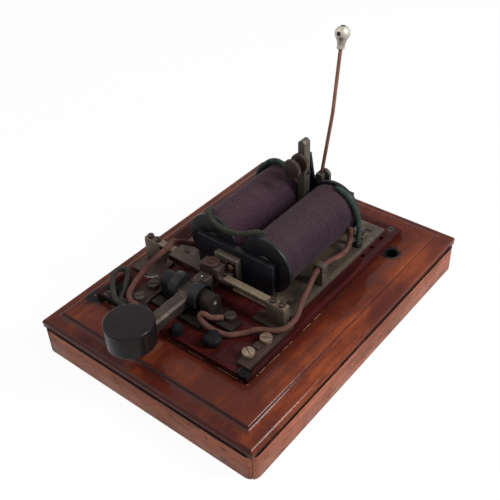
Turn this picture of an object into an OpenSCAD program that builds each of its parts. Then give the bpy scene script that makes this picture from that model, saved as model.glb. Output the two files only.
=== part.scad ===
// Railway block bell: electromagnet, hammer and tapper key on a moulded wooden base.
// Millimetres, +X right, +Y back, +Z up. The origin is the centre of the base's underside.

/* [Base] */
// Width of the plinth, left to right
base_w = 228; // [214:1:260]
// Length of the plinth, front to back
base_l = 305; // [296:1:340]
// Height of the plinth rails
plinth_h = 26; // [20:0.5:36]
// Thickness of the plinth rails
rail_t = 18; // [14:0.5:24]
// Plan radius of the plinth corners
plinth_r = 9; // [4:0.5:12]
// Thickness of the closing board under the plinth
bottom_t = 5; // [4:0.5:8]
// Width of the rebate that holds the closing board
rebate_w = 8; // [7:0.5:10]
// Thickness of the moulded board
board_t = 14; // [13:0.5:18]
// Radius of the board's half-round nosing
nosing_r = 4.3; // [3.5:0.1:4.6]
// Setback of the nosing from the plinth's face
nosing_in = 1; // [0.5:0.1:3]
// Setback of the flat top from the plinth's face
flat_in = 16.4; // [14:0.1:19]
// Radius of the small round step at the flat top
step_r = 2.5; // [1.5:0.1:3]
// Depth of the hollow between nosing and step
hollow_sag = 0.7; // [0.3:0.1:1]
// Thickness of the raised board
raised_t = 6; // [5:0.5:9]
// Radius of the wire hole in the moulded board
wire_hole_r = 6; // [4:0.5:7]
// Radius of the small wire holes beside the magnet plate
small_hole_r = 2; // [1.5:0.1:2.5]

/* [Magnet] */
// Thickness of the magnet plate
plate_t = 3.5; // [2.5:0.5:5]
// Distance between the two coil axes
coil_spread = 54.6; // [54:0.2:58]
// Radius of the coil cheeks
cheek_r = 26; // [25:0.5:26.5]
// Thickness of a coil cheek
cheek_t = 3.5; // [2.5:0.5:4]
// Length of a coil over its cheeks
coil_l = 103; // [100:0.5:104]
// Gap between the cheeks and the magnet plate
cheek_lift = 0.8; // [0.3:0.1:2]
// Radius over the outer turns
winding_r = 23.5; // [22:0.1:23.6]
// Diameter of a turn in the outer layer
turn_d = 3.3; // [2.6:0.1:3.4]
// Radius of the soft-iron cores
core_r = 9; // [7:0.5:11]
// Reach of the cores past the rear cheeks
pole_out = 0.5; // [0.2:0.1:0.8]
// Radius of the core spigots riveted into the yoke
spigot_r = 6; // [4:0.5:7]
// Half width of the yoke
yoke_half = 40; // [36:0.5:46]
// Thickness of the yoke
yoke_t = 6; // [5:0.5:7]
// Height of the yoke above the magnet plate
yoke_h = 34.5; // [31:0.5:38]
// Height of the bridge bracket above the magnet plate
bridge_h = 28.8; // [27.5:0.1:32]
// Thickness of the bridge bracket's top bar
bridge_t = 4; // [3:0.1:4.5]

/* [Stop post] */
// Width of the stop post between the coils
post_w = 7; // [5:0.1:7]
// Depth of the stop post
post_d = 8.2; // [7:0.1:9]
// Height of the stop post above the magnet plate
post_h = 90.5; // [84:0.5:98]
// Height of the stop screw above the magnet plate
stop_h = 70.3; // [66:0.1:74]
// Radius of the stop screw's milled head and of its lock nut
milled_r = 8.5; // [6:0.1:10]
// Thickness of the milled head and of the lock nut
milled_t = 4; // [2.5:0.1:5]
// Radius of the stop screw's shank
stop_r = 2; // [1.5:0.1:2.4]

/* [Armature and hammer] */
// Half length of the armature
arm_half = 41; // [36:0.5:42]
// Thickness of the armature
arm_t = 6; // [4:0.5:7]
// Height of the armature's top above the magnet plate
arm_h = 41.5; // [38:0.5:44]
// Reach of the armature below its pivot
arm_drop = 3.5; // [3:0.1:4]
// Air gap between the rear cheeks and the armature at rest
arm_gap = 2.5; // [2.4:0.1:3]
// Height of the armature's pivot above the magnet plate
arm_pivot_h = 6.5; // [5:0.1:8]
// Radius of the armature's arbor
arm_arbor_r = 2; // [1.5:0.1:2.4]
// Radius of the hammer rod
rod_r = 1.6; // [1.2:0.1:2]
// Radius of the hammer's ball
ball_r = 6.5; // [5:0.1:8]
// Height of the hammer rod's tip above the armature
rod_h = 126.2; // [100:0.2:150]
// Distance of the hammer rod's tip behind the armature's face
rod_out = 29.6; // [22:0.2:40]

/* [Key] */
// Centre line of the key
key_x = -13; // [-14:0.5:-12]
// Place of the key's pivot, front to back
pivot_y = -72; // [-73:0.5:-71]
// Height of the key's pivot above the raised board
pivot_h = 16.5; // [16:0.1:18]
// Width of the key's lever
lever_w = 12; // [10:0.5:13]
// Depth of the lever's front bar
lever_h = 10; // [8:0.5:10]
// Height of the lever's top above the pivot
lever_up = 2; // [1:0.1:3]
// Radius of the key's arbor
key_arbor_r = 3; // [2:0.1:4]
// Radius of the dark collars on the arbor
collar_r = 11.5; // [11:0.1:13]
// Length of a collar
collar_l = 9; // [8:0.5:10]
// Radius of the pedestals' bearing bosses
boss_r = 7.5; // [6:0.1:8.2]
// Radius of the knob
knob_r = 20; // [15:0.5:22]
// Height of the knob
knob_h = 22; // [16:0.5:26]
// Depth that the lever is let into the knob
knob_sink = 6; // [4:0.5:8]
// Distance from the pivot to the knob's centre
knob_out = 67; // [62:0.5:67]

/* [Contacts] */
// Thickness of the terminal strips, pedestal feet and sole plate
strip_t = 3; // [2:0.1:3.2]
// Height of the right contact post above its strip
right_post_h = 17; // [17:0.1:20]
// Height of the left contact post above its strip
left_post_h = 20; // [16:0.1:21]
// Depth of the contact posts
contact_post_d = 7; // [6:0.1:8]
// Thickness of the contact bars
bar_t = 2; // [1.2:0.1:2.4]
// Width of the contact bars
bar_w = 6.4; // [4:0.1:7]
// Height of the wire lug above the magnet plate
wire_lug_h = 20.5; // [20:0.1:24]

/* [Fasteners and leads] */
// Radius of the cheese-head screws
cheese_r = 5; // [4:0.1:5.2]
// Height of the cheese heads
cheese_h = 3.6; // [2:0.1:4]
// Radius of the small screws' heads
small_r = 3; // [2:0.1:3.2]
// Radius of the countersunk heads
sunk_r = 3.6; // [3:0.1:4]
// Shank radius of the wood screws
shank_r = 1.6; // [1.2:0.1:2]
// Diameter of the brown and grey covered leads
lead_d = 4.8; // [3.6:0.1:5]
// Diameter of the green silk-covered leads
silk_d = 5; // [4:0.1:5.2]

/* [Hidden] */
$fn = 64;

// Clearances
fit = 0.05;
seat = 0.2;
cut = 1;

// Levels
board_top = plinth_h + board_t;
raised_top = board_top + raised_t;
plate_top = raised_top + plate_t;
strip_top = raised_top + strip_t;

// Coils
coil_front = -24.5;
coil_rear = coil_front + coil_l;
axis_z = plate_top + cheek_lift + cheek_r;
wind_front = coil_front + cheek_t;
wind_rear = coil_rear - cheek_t;
turns = 24;
turn_rings = 13;
turn_sides = 6;
turn_c = winding_r - turn_d / 2;
turn_flat = turn_c * cos(180 / turn_rings);
inner_r = turn_flat - turn_d / 2 - seat;
end_gap = 0.3;
turn_pitch = (wind_rear - wind_front - turn_d - 2 * end_gap) / turns;
yoke_front = coil_front - yoke_t;

// Bridge bracket
bridge_x = [-16.5, 8];
bridge_foot = 13;
bridge_leg = 2.4;
bridge_d = 6;
bridge_under = plate_top + bridge_h - bridge_t;

// Stop post and stop screw
post_gap = 14.2;
post_chamfer = 2;
post_y = coil_rear - post_gap;
post_back = post_y + post_d;
stop_z = plate_top + stop_h;
stop_out = 16;
stop_gap = 3.7;
stop_tip = post_back + 0.5;
stop_head_y = post_y - stop_out;
clamp_h = 57.5;

// Armature and hammer
arm_y = coil_rear + arm_gap;
arm_back = arm_y + arm_t;
arm_pivot = [arm_y + arm_t / 2, plate_top + arm_pivot_h];
arm_top = plate_top + arm_h;
bracket_t = 4;
bracket_x = arm_half + 2.5;
bracket_d = 8;
bracket_foot = 9;
tail_h = 31;
tail_t = 3;
tail_lean = 5;
tail_foot = [-5.5, 3];
tail_tip = [-2, 0.4];
lug_x = [3.5, 14.5];
lug_t = 3;
lug_h = 29;
lug_drop = 17;
rod_x = 7;
rod_root_up = 2;
rod_root_out = 3.2;
rod_bend_up = 61.7;
rod_bend_out = 19.6;
rod_root = [arm_y + rod_root_out, arm_top + rod_root_up];
rod_bend = [arm_y + rod_bend_out, arm_top + rod_bend_up];
rod_tip = [arm_y + rod_out, arm_top + rod_h];
rod_lean = atan2(rod_tip[0] - rod_bend[0], rod_tip[1] - rod_bend[1]);
root_lean = atan2(rod_bend[0] - rod_root[0], rod_bend[1] - rod_root[1]);
neck_l = 13;
rod_in = 9;

// Magnet plate and raised board
plate_margin = 18.5;
raised_margin = 12.5;
plate_front = -37.5;
raised_front = -108;
plate_x = [-71, 63.7];
plate_y = [plate_front, arm_back + plate_margin];
raised_x = [-89, 74.5];
raised_y = [raised_front, plate_y[1] + raised_margin];
wire_hole_x = 81;
wire_hole_in = 15.7;
wire_hole = [wire_hole_x, plate_y[1] - wire_hole_in];
small_hole_x = 66;
small_hole_in = [9, 25.5, 40.2];
small_holes = [for (d = small_hole_in) [small_hole_x, plate_y[1] - d]];

// Key
pivot_z = raised_top + pivot_h;
lever_top = pivot_z + lever_up;
lever_low = lever_top - lever_h;
lever_past = 8;
hub_fore = 12;
hub_aft = 21.5;
hub_up = 3.8;
arm_down = 10.5;
tail_down = 4.5;
tail_aft = 23;
tail_d = 10.8;
tail_up = 9.5;
lever_end = pivot_y - knob_out - lever_past;
hub_front = pivot_y - hub_fore;
hub_back = pivot_y + hub_aft;
hub_top = pivot_z + hub_up;
arm_low = pivot_z - arm_down;
tail_seat = pivot_z - tail_down;
tail_y = [pivot_y + tail_aft, pivot_y + tail_aft + tail_d];
tail_mid = (tail_y[0] + tail_y[1]) / 2;
tail_top = pivot_z + tail_up;
tail_half = 9.9;
tail_shank = 2;
knob_y = pivot_y - knob_out;
knob_low = lever_top - knob_sink;
collar_in = lever_w / 2;
collar_out = collar_in + collar_l;
collar_wall = 2;
recess_r = collar_r - collar_wall;
recess_l = 4;
boss_gap = 1;
pedestal_gap = 1.5;
pedestal_t = 10.1;
arbor_past = 0.6;
sole_gap = 0.5;
boss_in = collar_out - recess_l + boss_gap;
pedestal_in = collar_out + pedestal_gap;
pedestal_out = pedestal_in + pedestal_t;
arbor_out = pedestal_out + arbor_past;
sole_half = pedestal_in - sole_gap;
foot_front = pivot_y - boss_r;
foot_back = pivot_y + boss_r;
foot_out = 10.5;
sole_out = 12.5;
sole_back = 20;

// Contacts
contact_y = -50.5;
contact_back = contact_y + contact_post_d;
contact_mid = contact_y + contact_post_d / 2;
right_post_x = [48.5, 66];
left_post_x = [-85, -67.5];
right_bar_end = 4;
left_bar_end = -52;
right_bar_z = strip_top + right_post_h;
left_bar_z = strip_top + left_post_h;
lower_spring_x = [14, 55];
lower_spring_t = 1.2;
lower_spring_gap = 5;
lower_spring_z = right_bar_z - lower_spring_gap;
right_strip_x = [58.8, 71];
right_ear_in = 38;
left_ear_out = -87;
right_ear_x = [right_ear_in, right_strip_x[0] + cut];
left_strip_x = [-61, -43.5];
left_ear_x = [left_ear_out, left_strip_x[0] + cut];
ear_in = 5.5;
strip_front = -101;
left_strip_end = -52;
left_ear_front = -68;
link_y = [-82, -75.5];
link_w = 6.4;
link_t = 1.5;
foot_gap = 1.8;
foot_top = right_bar_z - foot_gap;
foot_t = 3;
foot_lap = 5;
stud_side = 13.6;
stud_aft = 36.8;
stud_at = [key_x + stud_side, pivot_y + stud_aft];
stud_r = 3.4;
stud_lug_t = 4;
stud_lug_d = 4.4;
stud_gap = 2.3;
stud_top = bridge_under - stud_gap;
stud_up = 2.4;
stud_seat = pivot_z + stud_up;
lug_at = [58.6, 10.5];
lug_size = [9, 7];
lug_bore = [58.5, 66];

// Fasteners
slot_w = 1;
slot_deep = 1.2;
wood_deep = 10;
small_shank = 1.3;
small_h = 2.4;
bar_screw_l = 3.4;
plate_hole_x = [-60, 52.5];
plate_hole_fore = 12.5;
plate_hole_aft = 10.2;
plate_hole_y = [plate_y[0] + plate_hole_fore, plate_y[1] - plate_hole_aft];
plate_holes = [for (x = plate_hole_x) for (y = plate_hole_y) [x, y]];
raised_in = 8;
raised_end = 5;
raised_holes = [for (x = [raised_x[0] + raised_in, raised_x[1] - raised_in])
    for (y = [raised_y[0] + raised_end, raised_y[1] - raised_end]) [x, y]];
bottom_hole_in = 12;
bottom_holes = [for (x = [-1, 1]) for (y = [-1, 0, 1])
    [x * (base_w / 2 - rail_t + rebate_w / 2), y * (base_l / 2 - rail_t - bottom_hole_in)]];
right_strip_holes = [[61.3, -89.6], [63, -69.6]];
left_strip_holes = [[-52.5, -76], [-51, -94]];
foot_hole_out = 5.5;
foot_hole_aft = 6;
pedestal_holes = [[24.5, -67], [key_x - pedestal_in - foot_hole_out, foot_back + foot_hole_aft]];
strip_holes = concat(right_strip_holes, left_strip_holes, pedestal_holes);
screw_turns = [148, 35, 30, 50, 45, 75];
right_bar_holes = [[53, contact_mid], [62, contact_mid]];
left_bar_holes = [[-80.5, contact_mid], [-72, contact_mid]];
bracket_hole_x = bracket_x + bracket_t + (bracket_foot + cut) / 2;
bracket_holes = [for (s = [-1, 1]) [s * bracket_hole_x, arm_pivot[0]]];
lug_hole_down = 9;
lug_hole_step = 4.5;
lug_holes = [for (k = [-1, 1]) [(lug_x[0] + lug_x[1]) / 2, arm_top - lug_hole_down + lug_hole_step * k]];
stud_points = [[0, -103], [-38.4, -103.2]];
stud_base_r = 4.6;
bush_in = 7.5;
bush_points = [[56.9, coil_rear - bush_in], [-58, coil_rear - bush_in]];
bush_r = 4;
splice_at = [29.5, -96];
splice_r = 5.6;
splice_l = 14;

// Routes of the leads, from end to end
right_route = [
    [53, 64.5, 71.5], [54, 62.5, 62], [55.6, 58, 57.6], [57.2, 51, 56.8], [58.2, 40, 58.6],
    [58.5, 27, 63], [58.5, 14.5, 66], [58.5, 6.5, 66], [58.7, 0, 63], [60.5, -9, 59], [64, -23, 55.6],
    [68.8, -36, 53.8], [70.4, -46, 53.2], [68.5, -55, 52.4], [63.4, -60.2, 52], [56.4, -64.2, 51.9],
    [51, -67.8, 51.5], [46, -72.4, 49.6], [41, -77.6, 48.8], [35.5, -82.8, 48.8], [28, -85.4, 49.2],
    [20, -87, 50.8], [13, -87.2, 53.4], [9, -86, 56.2], [9.4, -84, 58], [12.8, -83, 58.2],
    [16.4, -81.6, 56.2], [19.2, -76.6, 53.6], [21.6, -72.8, 52.2]
];
left_route = [
    [-54, -16, 52], [-56, -19, 56], [-59, -26, 61], [-60, -34, 67], [-58, -42.5, 73.8], [-55, -51, 75],
    [-56.2, -60, 72], [-59.8, -66.3, 67], [-64, -73, 59.5], [-65, -82, 54.8], [-62.6, -91.6, 53],
    [-58.4, -98.6, 53.2], [-53, -102.8, 53.2], [-47.6, -103.8, 53.2], [-43.2, -103.4, 53.4]
];
front_route = [
    [-34, -14.5, 101], [-33, -19.6, 104.5], [-29.5, -25.8, 105.4], [-23, -28.6, 102.4], [-14, -28.5, 99],
    [-3, -27.2, 98], [8, -24.8, 100], [15.2, -20.8, 102.6], [20, -15.2, 101]
];
rear_right_route = [
    [31, 71.6, 102.1], [37.5, 71.8, 100.1], [44.6, 71.8, 95.6], [50.4, 71.8, 89], [54.6, 71.8, 80.5],
    [56.7, 71.8, 71], [57, 71.4, 61], [56.9, 71, 52]
];
rear_left_route = [
    [-58, 70.5, 52], [-57.8, 70.6, 61], [-56.6, 71, 72], [-53.6, 71.4, 84.5], [-47.5, 71.8, 94],
    [-40, 72, 101.4], [-32.5, 72.4, 104.4], [-26, 72.4, 103.6], [-20.5, 71.6, 101.6]
];
grey_route = [
    [-48, -101.4, 48.8], [-48.1, -103.6, 48.8], [-50.4, -106.6, 48.8], [-57, -108, 49],
    [-67, -106.6, 49.4], [-76, -100.6, 50], [-85, -92.6, 50.6], [-90.6, -85, 51], [-90, -78.6, 51.2],
    [-84.6, -76, 51.2], [-79.4, -79.8, 50.6], [-73.5, -87.5, 49.8], [-67, -96.4, 49.2],
    [-63.4, -103, 49], [-58.6, -104.2, 48.8], [-55.4, -104, 48.8], [-55, -101.6, 48.8]
];

// Sweeping a tube along points

function unit(v) = v / norm(v);
function tangent(p, i) = unit(p[min(i + 1, len(p) - 1)] - p[max(i - 1, 0)]);
function square_to(v, t) = unit(v - (v * t) * t);
function first_side(t) = square_to(abs(t[2]) < 0.9 ? [0, 0, 1] : [1, 0, 0], t);
function sides_along(p) = [
    for (i = 0, v = first_side(tangent(p, 0));
         i < len(p);
         i = i + 1, v = square_to(v, tangent(p, min(i, len(p) - 1)))) v
];
function ring(c, t, v, r, n) = [
    for (k = [0 : n - 1]) c + r * (cos(360 * k / n) * v + sin(360 * k / n) * cross(t, v))
];
function tube_points(p, r, n) = let (v = sides_along(p)) [
    for (i = [0 : len(p) - 1]) each ring(p[i], tangent(p, i), v[i], r, n)
];
function tube_walls(m, n) = [
    for (i = [0 : m - 2]) for (k = [0 : n - 1])
        let (a = i * n + k, b = i * n + (k + 1) % n)
            each [[a, a + n, b], [b, a + n, b + n]]
];
function tube_ends(m, n) = [
    for (k = [1 : n - 2]) each [[0, k, k + 1], [(m - 1) * n, (m - 1) * n + k + 1, (m - 1) * n + k]]
];

module tube(p, d, n) {
    polyhedron(tube_points(p, d / 2, n), concat(tube_walls(len(p), n), tube_ends(len(p), n)));
}

// The outer layer of a coil: a helix that ends in a straight tangent at each end
function turn_point(x, a) = [
    x + turn_c * sin(a),
    wind_front + end_gap + turn_d / 2 + turn_pitch * a / 360,
    axis_z + turn_c * cos(a)
];
function helix(x) = [for (i = [0 : turns * turn_rings]) turn_point(x, 360 * i / turn_rings)];
function winding_path(x) = let (h = helix(x), n = len(h), first = [-1, 0, 0], last = [1, 0, 0]) concat(
    [h[0] + turn_d * first], h, [h[n - 1] + turn_d * last]
);
function least_gap(p) = min([
    for (i = [0 : len(p) - turn_rings]) for (j = [i + turn_rings - 1 : min(i + turn_rings + 1, len(p) - 1)])
        norm(p[i] - p[j])
]) - turn_d;

echo(str("least gap between turns: ", least_gap(winding_path(0)), " mm"));

// Shapes that repeat

module rounded_rect(w, l, r) {
    square([w - 2 * r, l], center = true);
    square([w, l - 2 * r], center = true);
    for (x = [-1, 1], y = [-1, 1])
        translate([x * (w / 2 - r), y * (l / 2 - r)]) circle(r = r);
}

module block(x, y, z) {
    translate([x[0], y[0], z[0]]) cube([x[1] - x[0], y[1] - y[0], z[1] - z[0]]);
}

module along_x(x, y, z, r, l) {
    translate([x, y, z]) rotate([0, 90, 0]) cylinder(r = r, h = l);
}

module along_y(x, y, z, r, l) {
    translate([x, y, z]) rotate([-90, 0, 0]) cylinder(r = r, h = l);
}

module profile_along_x(x, w) {
    translate([x, 0, 0]) rotate([90, 0, 90]) linear_extrude(w) children();
}

module profile_along_y(y, d) {
    translate([0, y + d, 0]) rotate([90, 0, 0]) linear_extrude(d) children();
}

module slot_cut(r, h) {
    translate([-r - cut, -slot_w / 2, h - slot_deep]) cube([2 * (r + cut), slot_w, slot_deep + cut]);
}

module slotted_screw(r, h, shank, deep) {
    difference() {
        union() {
            cylinder(r = r, h = h);
            translate([0, 0, -deep]) cylinder(r = shank, h = deep + h / 2);
        }
        slot_cut(r, h);
    }
}

module sunk_screw(deep) {
    difference() {
        union() {
            translate([0, 0, shank_r - sunk_r]) cylinder(r1 = shank_r, r2 = sunk_r, h = sunk_r - shank_r);
            translate([0, 0, -deep]) cylinder(r = shank_r, h = deep - sunk_r + shank_r + fit);
        }
        slot_cut(sunk_r, 0);
    }
}

module sunk_hole(deep) {
    sink = sunk_r - shank_r;
    translate([0, 0, -sink]) cylinder(r1 = shank_r + fit, r2 = sunk_r + fit, h = sink);
    translate([0, 0, -fit]) cylinder(r = sunk_r + fit, h = cut);
    translate([0, 0, -deep - cut]) cylinder(r = shank_r + fit, h = deep + cut);
}

module at_points(points, z) {
    for (p = points)
        translate([p[0], p[1], z]) children();
}

// Base

module plinth_section() {
    difference() {
        rounded_rect(base_w, base_l, plinth_r);
        square([base_w - 2 * rail_t, base_l - 2 * rail_t], center = true);
    }
}

module end_mitre(s) {
    polygon([[-base_w / 2, s * base_l / 2], [base_w / 2, s * base_l / 2],
        [base_w / 2 - rail_t, s * (base_l / 2 - rail_t)], [rail_t - base_w / 2, s * (base_l / 2 - rail_t)]]);
}

module side_mitre(s) {
    polygon([[s * base_w / 2, -base_l / 2], [s * base_w / 2, base_l / 2],
        [s * (base_w / 2 - rail_t), base_l / 2 - rail_t], [s * (base_w / 2 - rail_t), rail_t - base_l / 2]]);
}

module rail() {
    pocket_w = base_w - 2 * rail_t + 2 * rebate_w;
    pocket_l = base_l - 2 * rail_t + 2 * rebate_w;
    difference() {
        linear_extrude(plinth_h) intersection() {
            plinth_section();
            children();
        }
        translate([-pocket_w / 2, -pocket_l / 2, -cut]) cube([pocket_w, pocket_l, bottom_t + cut]);
        at_points(bottom_holes, 0) cylinder(r = shank_r + fit, h = bottom_t + wood_deep);
    }
}

module plinth_front() {
    color("saddlebrown") rail() end_mitre(-1);
}

module plinth_back() {
    color("saddlebrown") rail() end_mitre(1);
}

module plinth_left() {
    color("saddlebrown") rail() side_mitre(-1);
}

module plinth_right() {
    color("saddlebrown") rail() side_mitre(1);
}

module bottom_board() {
    w = base_w - 2 * rail_t + 2 * rebate_w - 2 * seat;
    l = base_l - 2 * rail_t + 2 * rebate_w - 2 * seat;
    color("peru") difference() {
        translate([-w / 2, -l / 2, 0]) cube([w, l, bottom_t]);
        at_points(bottom_holes, 0) mirror([0, 0, 1]) sunk_hole(bottom_t);
    }
}

module moulding(w) {
    nose = w / 2 - nosing_in - nosing_r;
    flat = w / 2 - flat_in;
    slope = [nose, 2 * nosing_r];
    step = [flat + step_r, board_t - step_r];
    chord = norm(slope - step);
    hollow_r = chord * chord / (8 * hollow_sag) + hollow_sag / 2;
    normal = [step[1] - slope[1], slope[0] - step[0]] / chord;
    hollow_c = (slope + step) / 2 + normal * (hollow_r - hollow_sag);
    translate([-nose, 0]) square([2 * nose, 2 * nosing_r]);
    translate([-step[0], 0]) square([2 * step[0], step[1]]);
    translate([-flat, 0]) square([2 * flat, board_t]);
    for (side = [0, 1]) mirror([side, 0, 0]) {
        translate([nose, nosing_r]) circle(r = nosing_r);
        translate([flat, step[1]]) circle(r = step_r);
        difference() {
            polygon([[step[0] - cut, 2 * nosing_r - cut], [nose, 2 * nosing_r - cut], slope, step,
                [step[0] - cut, step[1]]]);
            translate(hollow_c) circle(r = hollow_r, $fn = 160);
        }
    }
}

module moulded_board() {
    color("firebrick") translate([0, 0, plinth_h]) difference() {
        intersection() {
            profile_along_y(-base_l / 2, base_l) moulding(base_w);
            profile_along_x(-base_w / 2, base_w) moulding(base_l);
        }
        at_points([wire_hole], -cut) cylinder(r = wire_hole_r, h = board_t + 2 * cut);
        at_points(small_holes, -cut) cylinder(r = small_hole_r, h = board_t + 2 * cut);
        at_points(concat(plate_holes, raised_holes, strip_holes), board_t + raised_t - wood_deep - cut)
            cylinder(r = shank_r + fit, h = wood_deep);
    }
}

module raised_board() {
    color("darkred") difference() {
        block(raised_x, raised_y, [board_top, raised_top]);
        at_points(small_holes, board_top - cut) cylinder(r = small_hole_r, h = raised_t + 2 * cut);
        at_points(concat(plate_holes, strip_holes), board_top - cut)
            cylinder(r = shank_r + fit, h = raised_t + 2 * cut);
        at_points(raised_holes, raised_top) sunk_hole(raised_t);
    }
}

module countersunk_screws() {
    color("darkgoldenrod") {
        at_points(plate_holes, plate_top) sunk_screw(wood_deep + plate_t);
        at_points(raised_holes, raised_top) sunk_screw(wood_deep);
        at_points(bottom_holes, 0) mirror([0, 0, 1]) sunk_screw(bottom_t + wood_deep - cut);
    }
}

// Magnet

module magnet_plate() {
    color("darkkhaki") difference() {
        block(plate_x, plate_y, [raised_top, plate_top]);
        at_points(plate_holes, plate_top) sunk_hole(plate_t);
        at_points(bush_points, raised_top - cut) cylinder(r = bush_r - cut + fit, h = plate_t + 2 * cut);
        at_points(bracket_holes, raised_top - cut) cylinder(r = small_shank + fit, h = plate_t + 2 * cut);
    }
}

module yoke() {
    color("dimgray") difference() {
        block([-yoke_half, yoke_half], [yoke_front, coil_front], [plate_top, plate_top + yoke_h]);
        for (s = [-1, 1])
            along_y(s * coil_spread / 2, yoke_front - cut, axis_z, spigot_r + fit, yoke_t + 2 * cut);
    }
}

module core(x) {
    color("gray") {
        along_y(x, coil_front, axis_z, core_r, coil_l + pole_out);
        along_y(x, yoke_front, axis_z, spigot_r, yoke_t + cut);
    }
}

module cheek(x, y) {
    color("black") difference() {
        along_y(x, y, axis_z, cheek_r, cheek_t);
        along_y(x, y - cut, axis_z, core_r + fit, cheek_t + 2 * cut);
    }
}

module inner_winding(x) {
    color("rosybrown") difference() {
        along_y(x, wind_front, axis_z, inner_r, wind_rear - wind_front);
        along_y(x, wind_front - cut, axis_z, core_r + fit, wind_rear - wind_front + 2 * cut);
    }
}

module outer_winding(x) {
    color("purple") tube(winding_path(x), turn_d, turn_sides);
}

module left_core() {
    core(-coil_spread / 2);
}

module right_core() {
    core(coil_spread / 2);
}

module left_front_cheek() {
    cheek(-coil_spread / 2, coil_front);
}

module left_rear_cheek() {
    cheek(-coil_spread / 2, wind_rear);
}

module right_front_cheek() {
    cheek(coil_spread / 2, coil_front);
}

module right_rear_cheek() {
    cheek(coil_spread / 2, wind_rear);
}

module left_inner_winding() {
    inner_winding(-coil_spread / 2);
}

module right_inner_winding() {
    inner_winding(coil_spread / 2);
}

module left_winding() {
    outer_winding(-coil_spread / 2);
}

module right_winding() {
    outer_winding(coil_spread / 2);
}

module bridge_bracket() {
    top = plate_top + bridge_h;
    y = [yoke_front - bridge_d, yoke_front];
    color("goldenrod") {
        block(bridge_x, y, [bridge_under, top]);
        block([bridge_x[0], bridge_x[0] + bridge_foot], y, [plate_top, top]);
        block([bridge_x[1] - bridge_leg, bridge_x[1]], y, [plate_top, top]);
    }
}

// Stop post

module stop_post() {
    half = post_w / 2;
    top = plate_top + post_h;
    color("darkkhaki") difference() {
        profile_along_y(post_y, post_d) polygon([
            [-half, plate_top], [half, plate_top], [half, top - post_chamfer], [half - post_chamfer, top],
            [post_chamfer - half, top], [-half, top - post_chamfer]]);
        along_y(0, post_y - cut, stop_z, stop_r + fit, post_d + 2 * cut);
        along_x(0, post_back - 2.5, plate_top + clamp_h, small_shank + fit, post_w);
    }
}

module stop_screw() {
    color("goldenrod") {
        along_y(0, stop_head_y, stop_z, milled_r, milled_t);
        along_y(0, stop_head_y, stop_z, stop_r, stop_tip - stop_head_y);
    }
}

module stop_nut() {
    color("goldenrod") difference() {
        along_y(0, post_y - milled_t, stop_z, milled_r, milled_t);
        along_y(0, post_y - milled_t - cut, stop_z, stop_r + fit, milled_t + 2 * cut);
    }
}

// Armature and hammer

module armature() {
    color("black") difference() {
        block([-arm_half, arm_half], [arm_y, arm_back], [arm_pivot[1] - arm_drop, arm_top]);
        along_x(-arm_half - cut, arm_pivot[0], arm_pivot[1], arm_arbor_r + fit, 2 * (arm_half + cut));
        for (p = lug_holes)
            along_y(p[0], arm_y - cut, p[1], small_shank + fit, arm_t + 2 * cut);
    }
}

module armature_arbor() {
    reach = bracket_x + bracket_t;
    color("silver") along_x(-reach, arm_pivot[0], arm_pivot[1], arm_arbor_r, 2 * reach);
}

module bracket(s) {
    y = [arm_pivot[0] - bracket_d / 2, arm_pivot[0] + bracket_d / 2];
    inner = s > 0 ? bracket_x : -bracket_x - bracket_t;
    foot = s > 0 ? bracket_x : -bracket_x - bracket_t - bracket_foot;
    difference() {
        union() {
            block([inner, inner + bracket_t], y, [plate_top, arm_pivot[1] + bracket_d / 2]);
            block([foot, foot + bracket_t + bracket_foot], y, [plate_top, plate_top + strip_t]);
        }
        along_x(inner - cut, arm_pivot[0], arm_pivot[1], arm_arbor_r + fit, bracket_t + 2 * cut);
        at_points(bracket_holes, plate_top - cut) cylinder(r = small_shank + fit, h = strip_t + 2 * cut);
    }
}

module armature_brackets() {
    color("darkkhaki") for (s = [-1, 1])
        bracket(s);
}

module armature_tail() {
    slope = tan(tail_lean);
    front = stop_tip + stop_gap + (stop_z - arm_top) * slope;
    heel = arm_top + tail_t;
    top = arm_top + tail_h;
    color("black") intersection() {
        profile_along_x(tail_foot[0] - cut, tail_foot[1] - tail_foot[0] + 2 * cut) polygon([
            [front, arm_top], [arm_back, arm_top], [arm_back, heel], [front + tail_t - tail_t * slope, heel],
            [front + tail_t - tail_h * slope, top], [front - tail_h * slope, top]]);
        profile_along_y(front - tail_h, tail_h + arm_back - front + cut) polygon([
            [tail_foot[0], arm_top - cut], [tail_foot[1], arm_top - cut], [tail_foot[1], heel],
            [tail_tip[1], top + cut], [tail_tip[0], top + cut], [tail_foot[0], heel]]);
    }
}

module hammer_lug() {
    mid = (lug_x[0] + lug_x[1]) / 2;
    round = (lug_x[1] - lug_x[0]) / 2;
    top = arm_top - lug_drop + lug_h - round;
    color("darkkhaki") difference() {
        union() {
            block(lug_x, [arm_back, arm_back + lug_t], [arm_top - lug_drop, top]);
            along_y(mid, arm_back, top, round, lug_t);
            block([rod_x - 3.2, rod_x + 3.2], [arm_y + 0.5, arm_back + cut], [arm_top, arm_top + 9]);
        }
        translate([rod_x, rod_root[0], rod_root[1]]) rotate([-root_lean, 0, 0])
            cylinder(r = rod_r + fit, h = 20);
        for (p = lug_holes)
            along_y(p[0], arm_back - cut, p[1], small_shank + fit, lug_t + 2 * cut);
    }
}

module lug_screws() {
    color("goldenrod") for (p = lug_holes)
        translate([p[0], arm_back + lug_t, p[1]]) rotate([-90, 0, 0])
            slotted_screw(small_r - 0.6, 1.8, small_shank, lug_t + arm_t - cut);
}

module rod_leg(a, b) {
    lean = atan2(b[0] - a[0], b[1] - a[1]);
    translate([rod_x, a[0], a[1]]) rotate([-lean, 0, 0]) cylinder(r = rod_r, h = norm(b - a));
}

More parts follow.
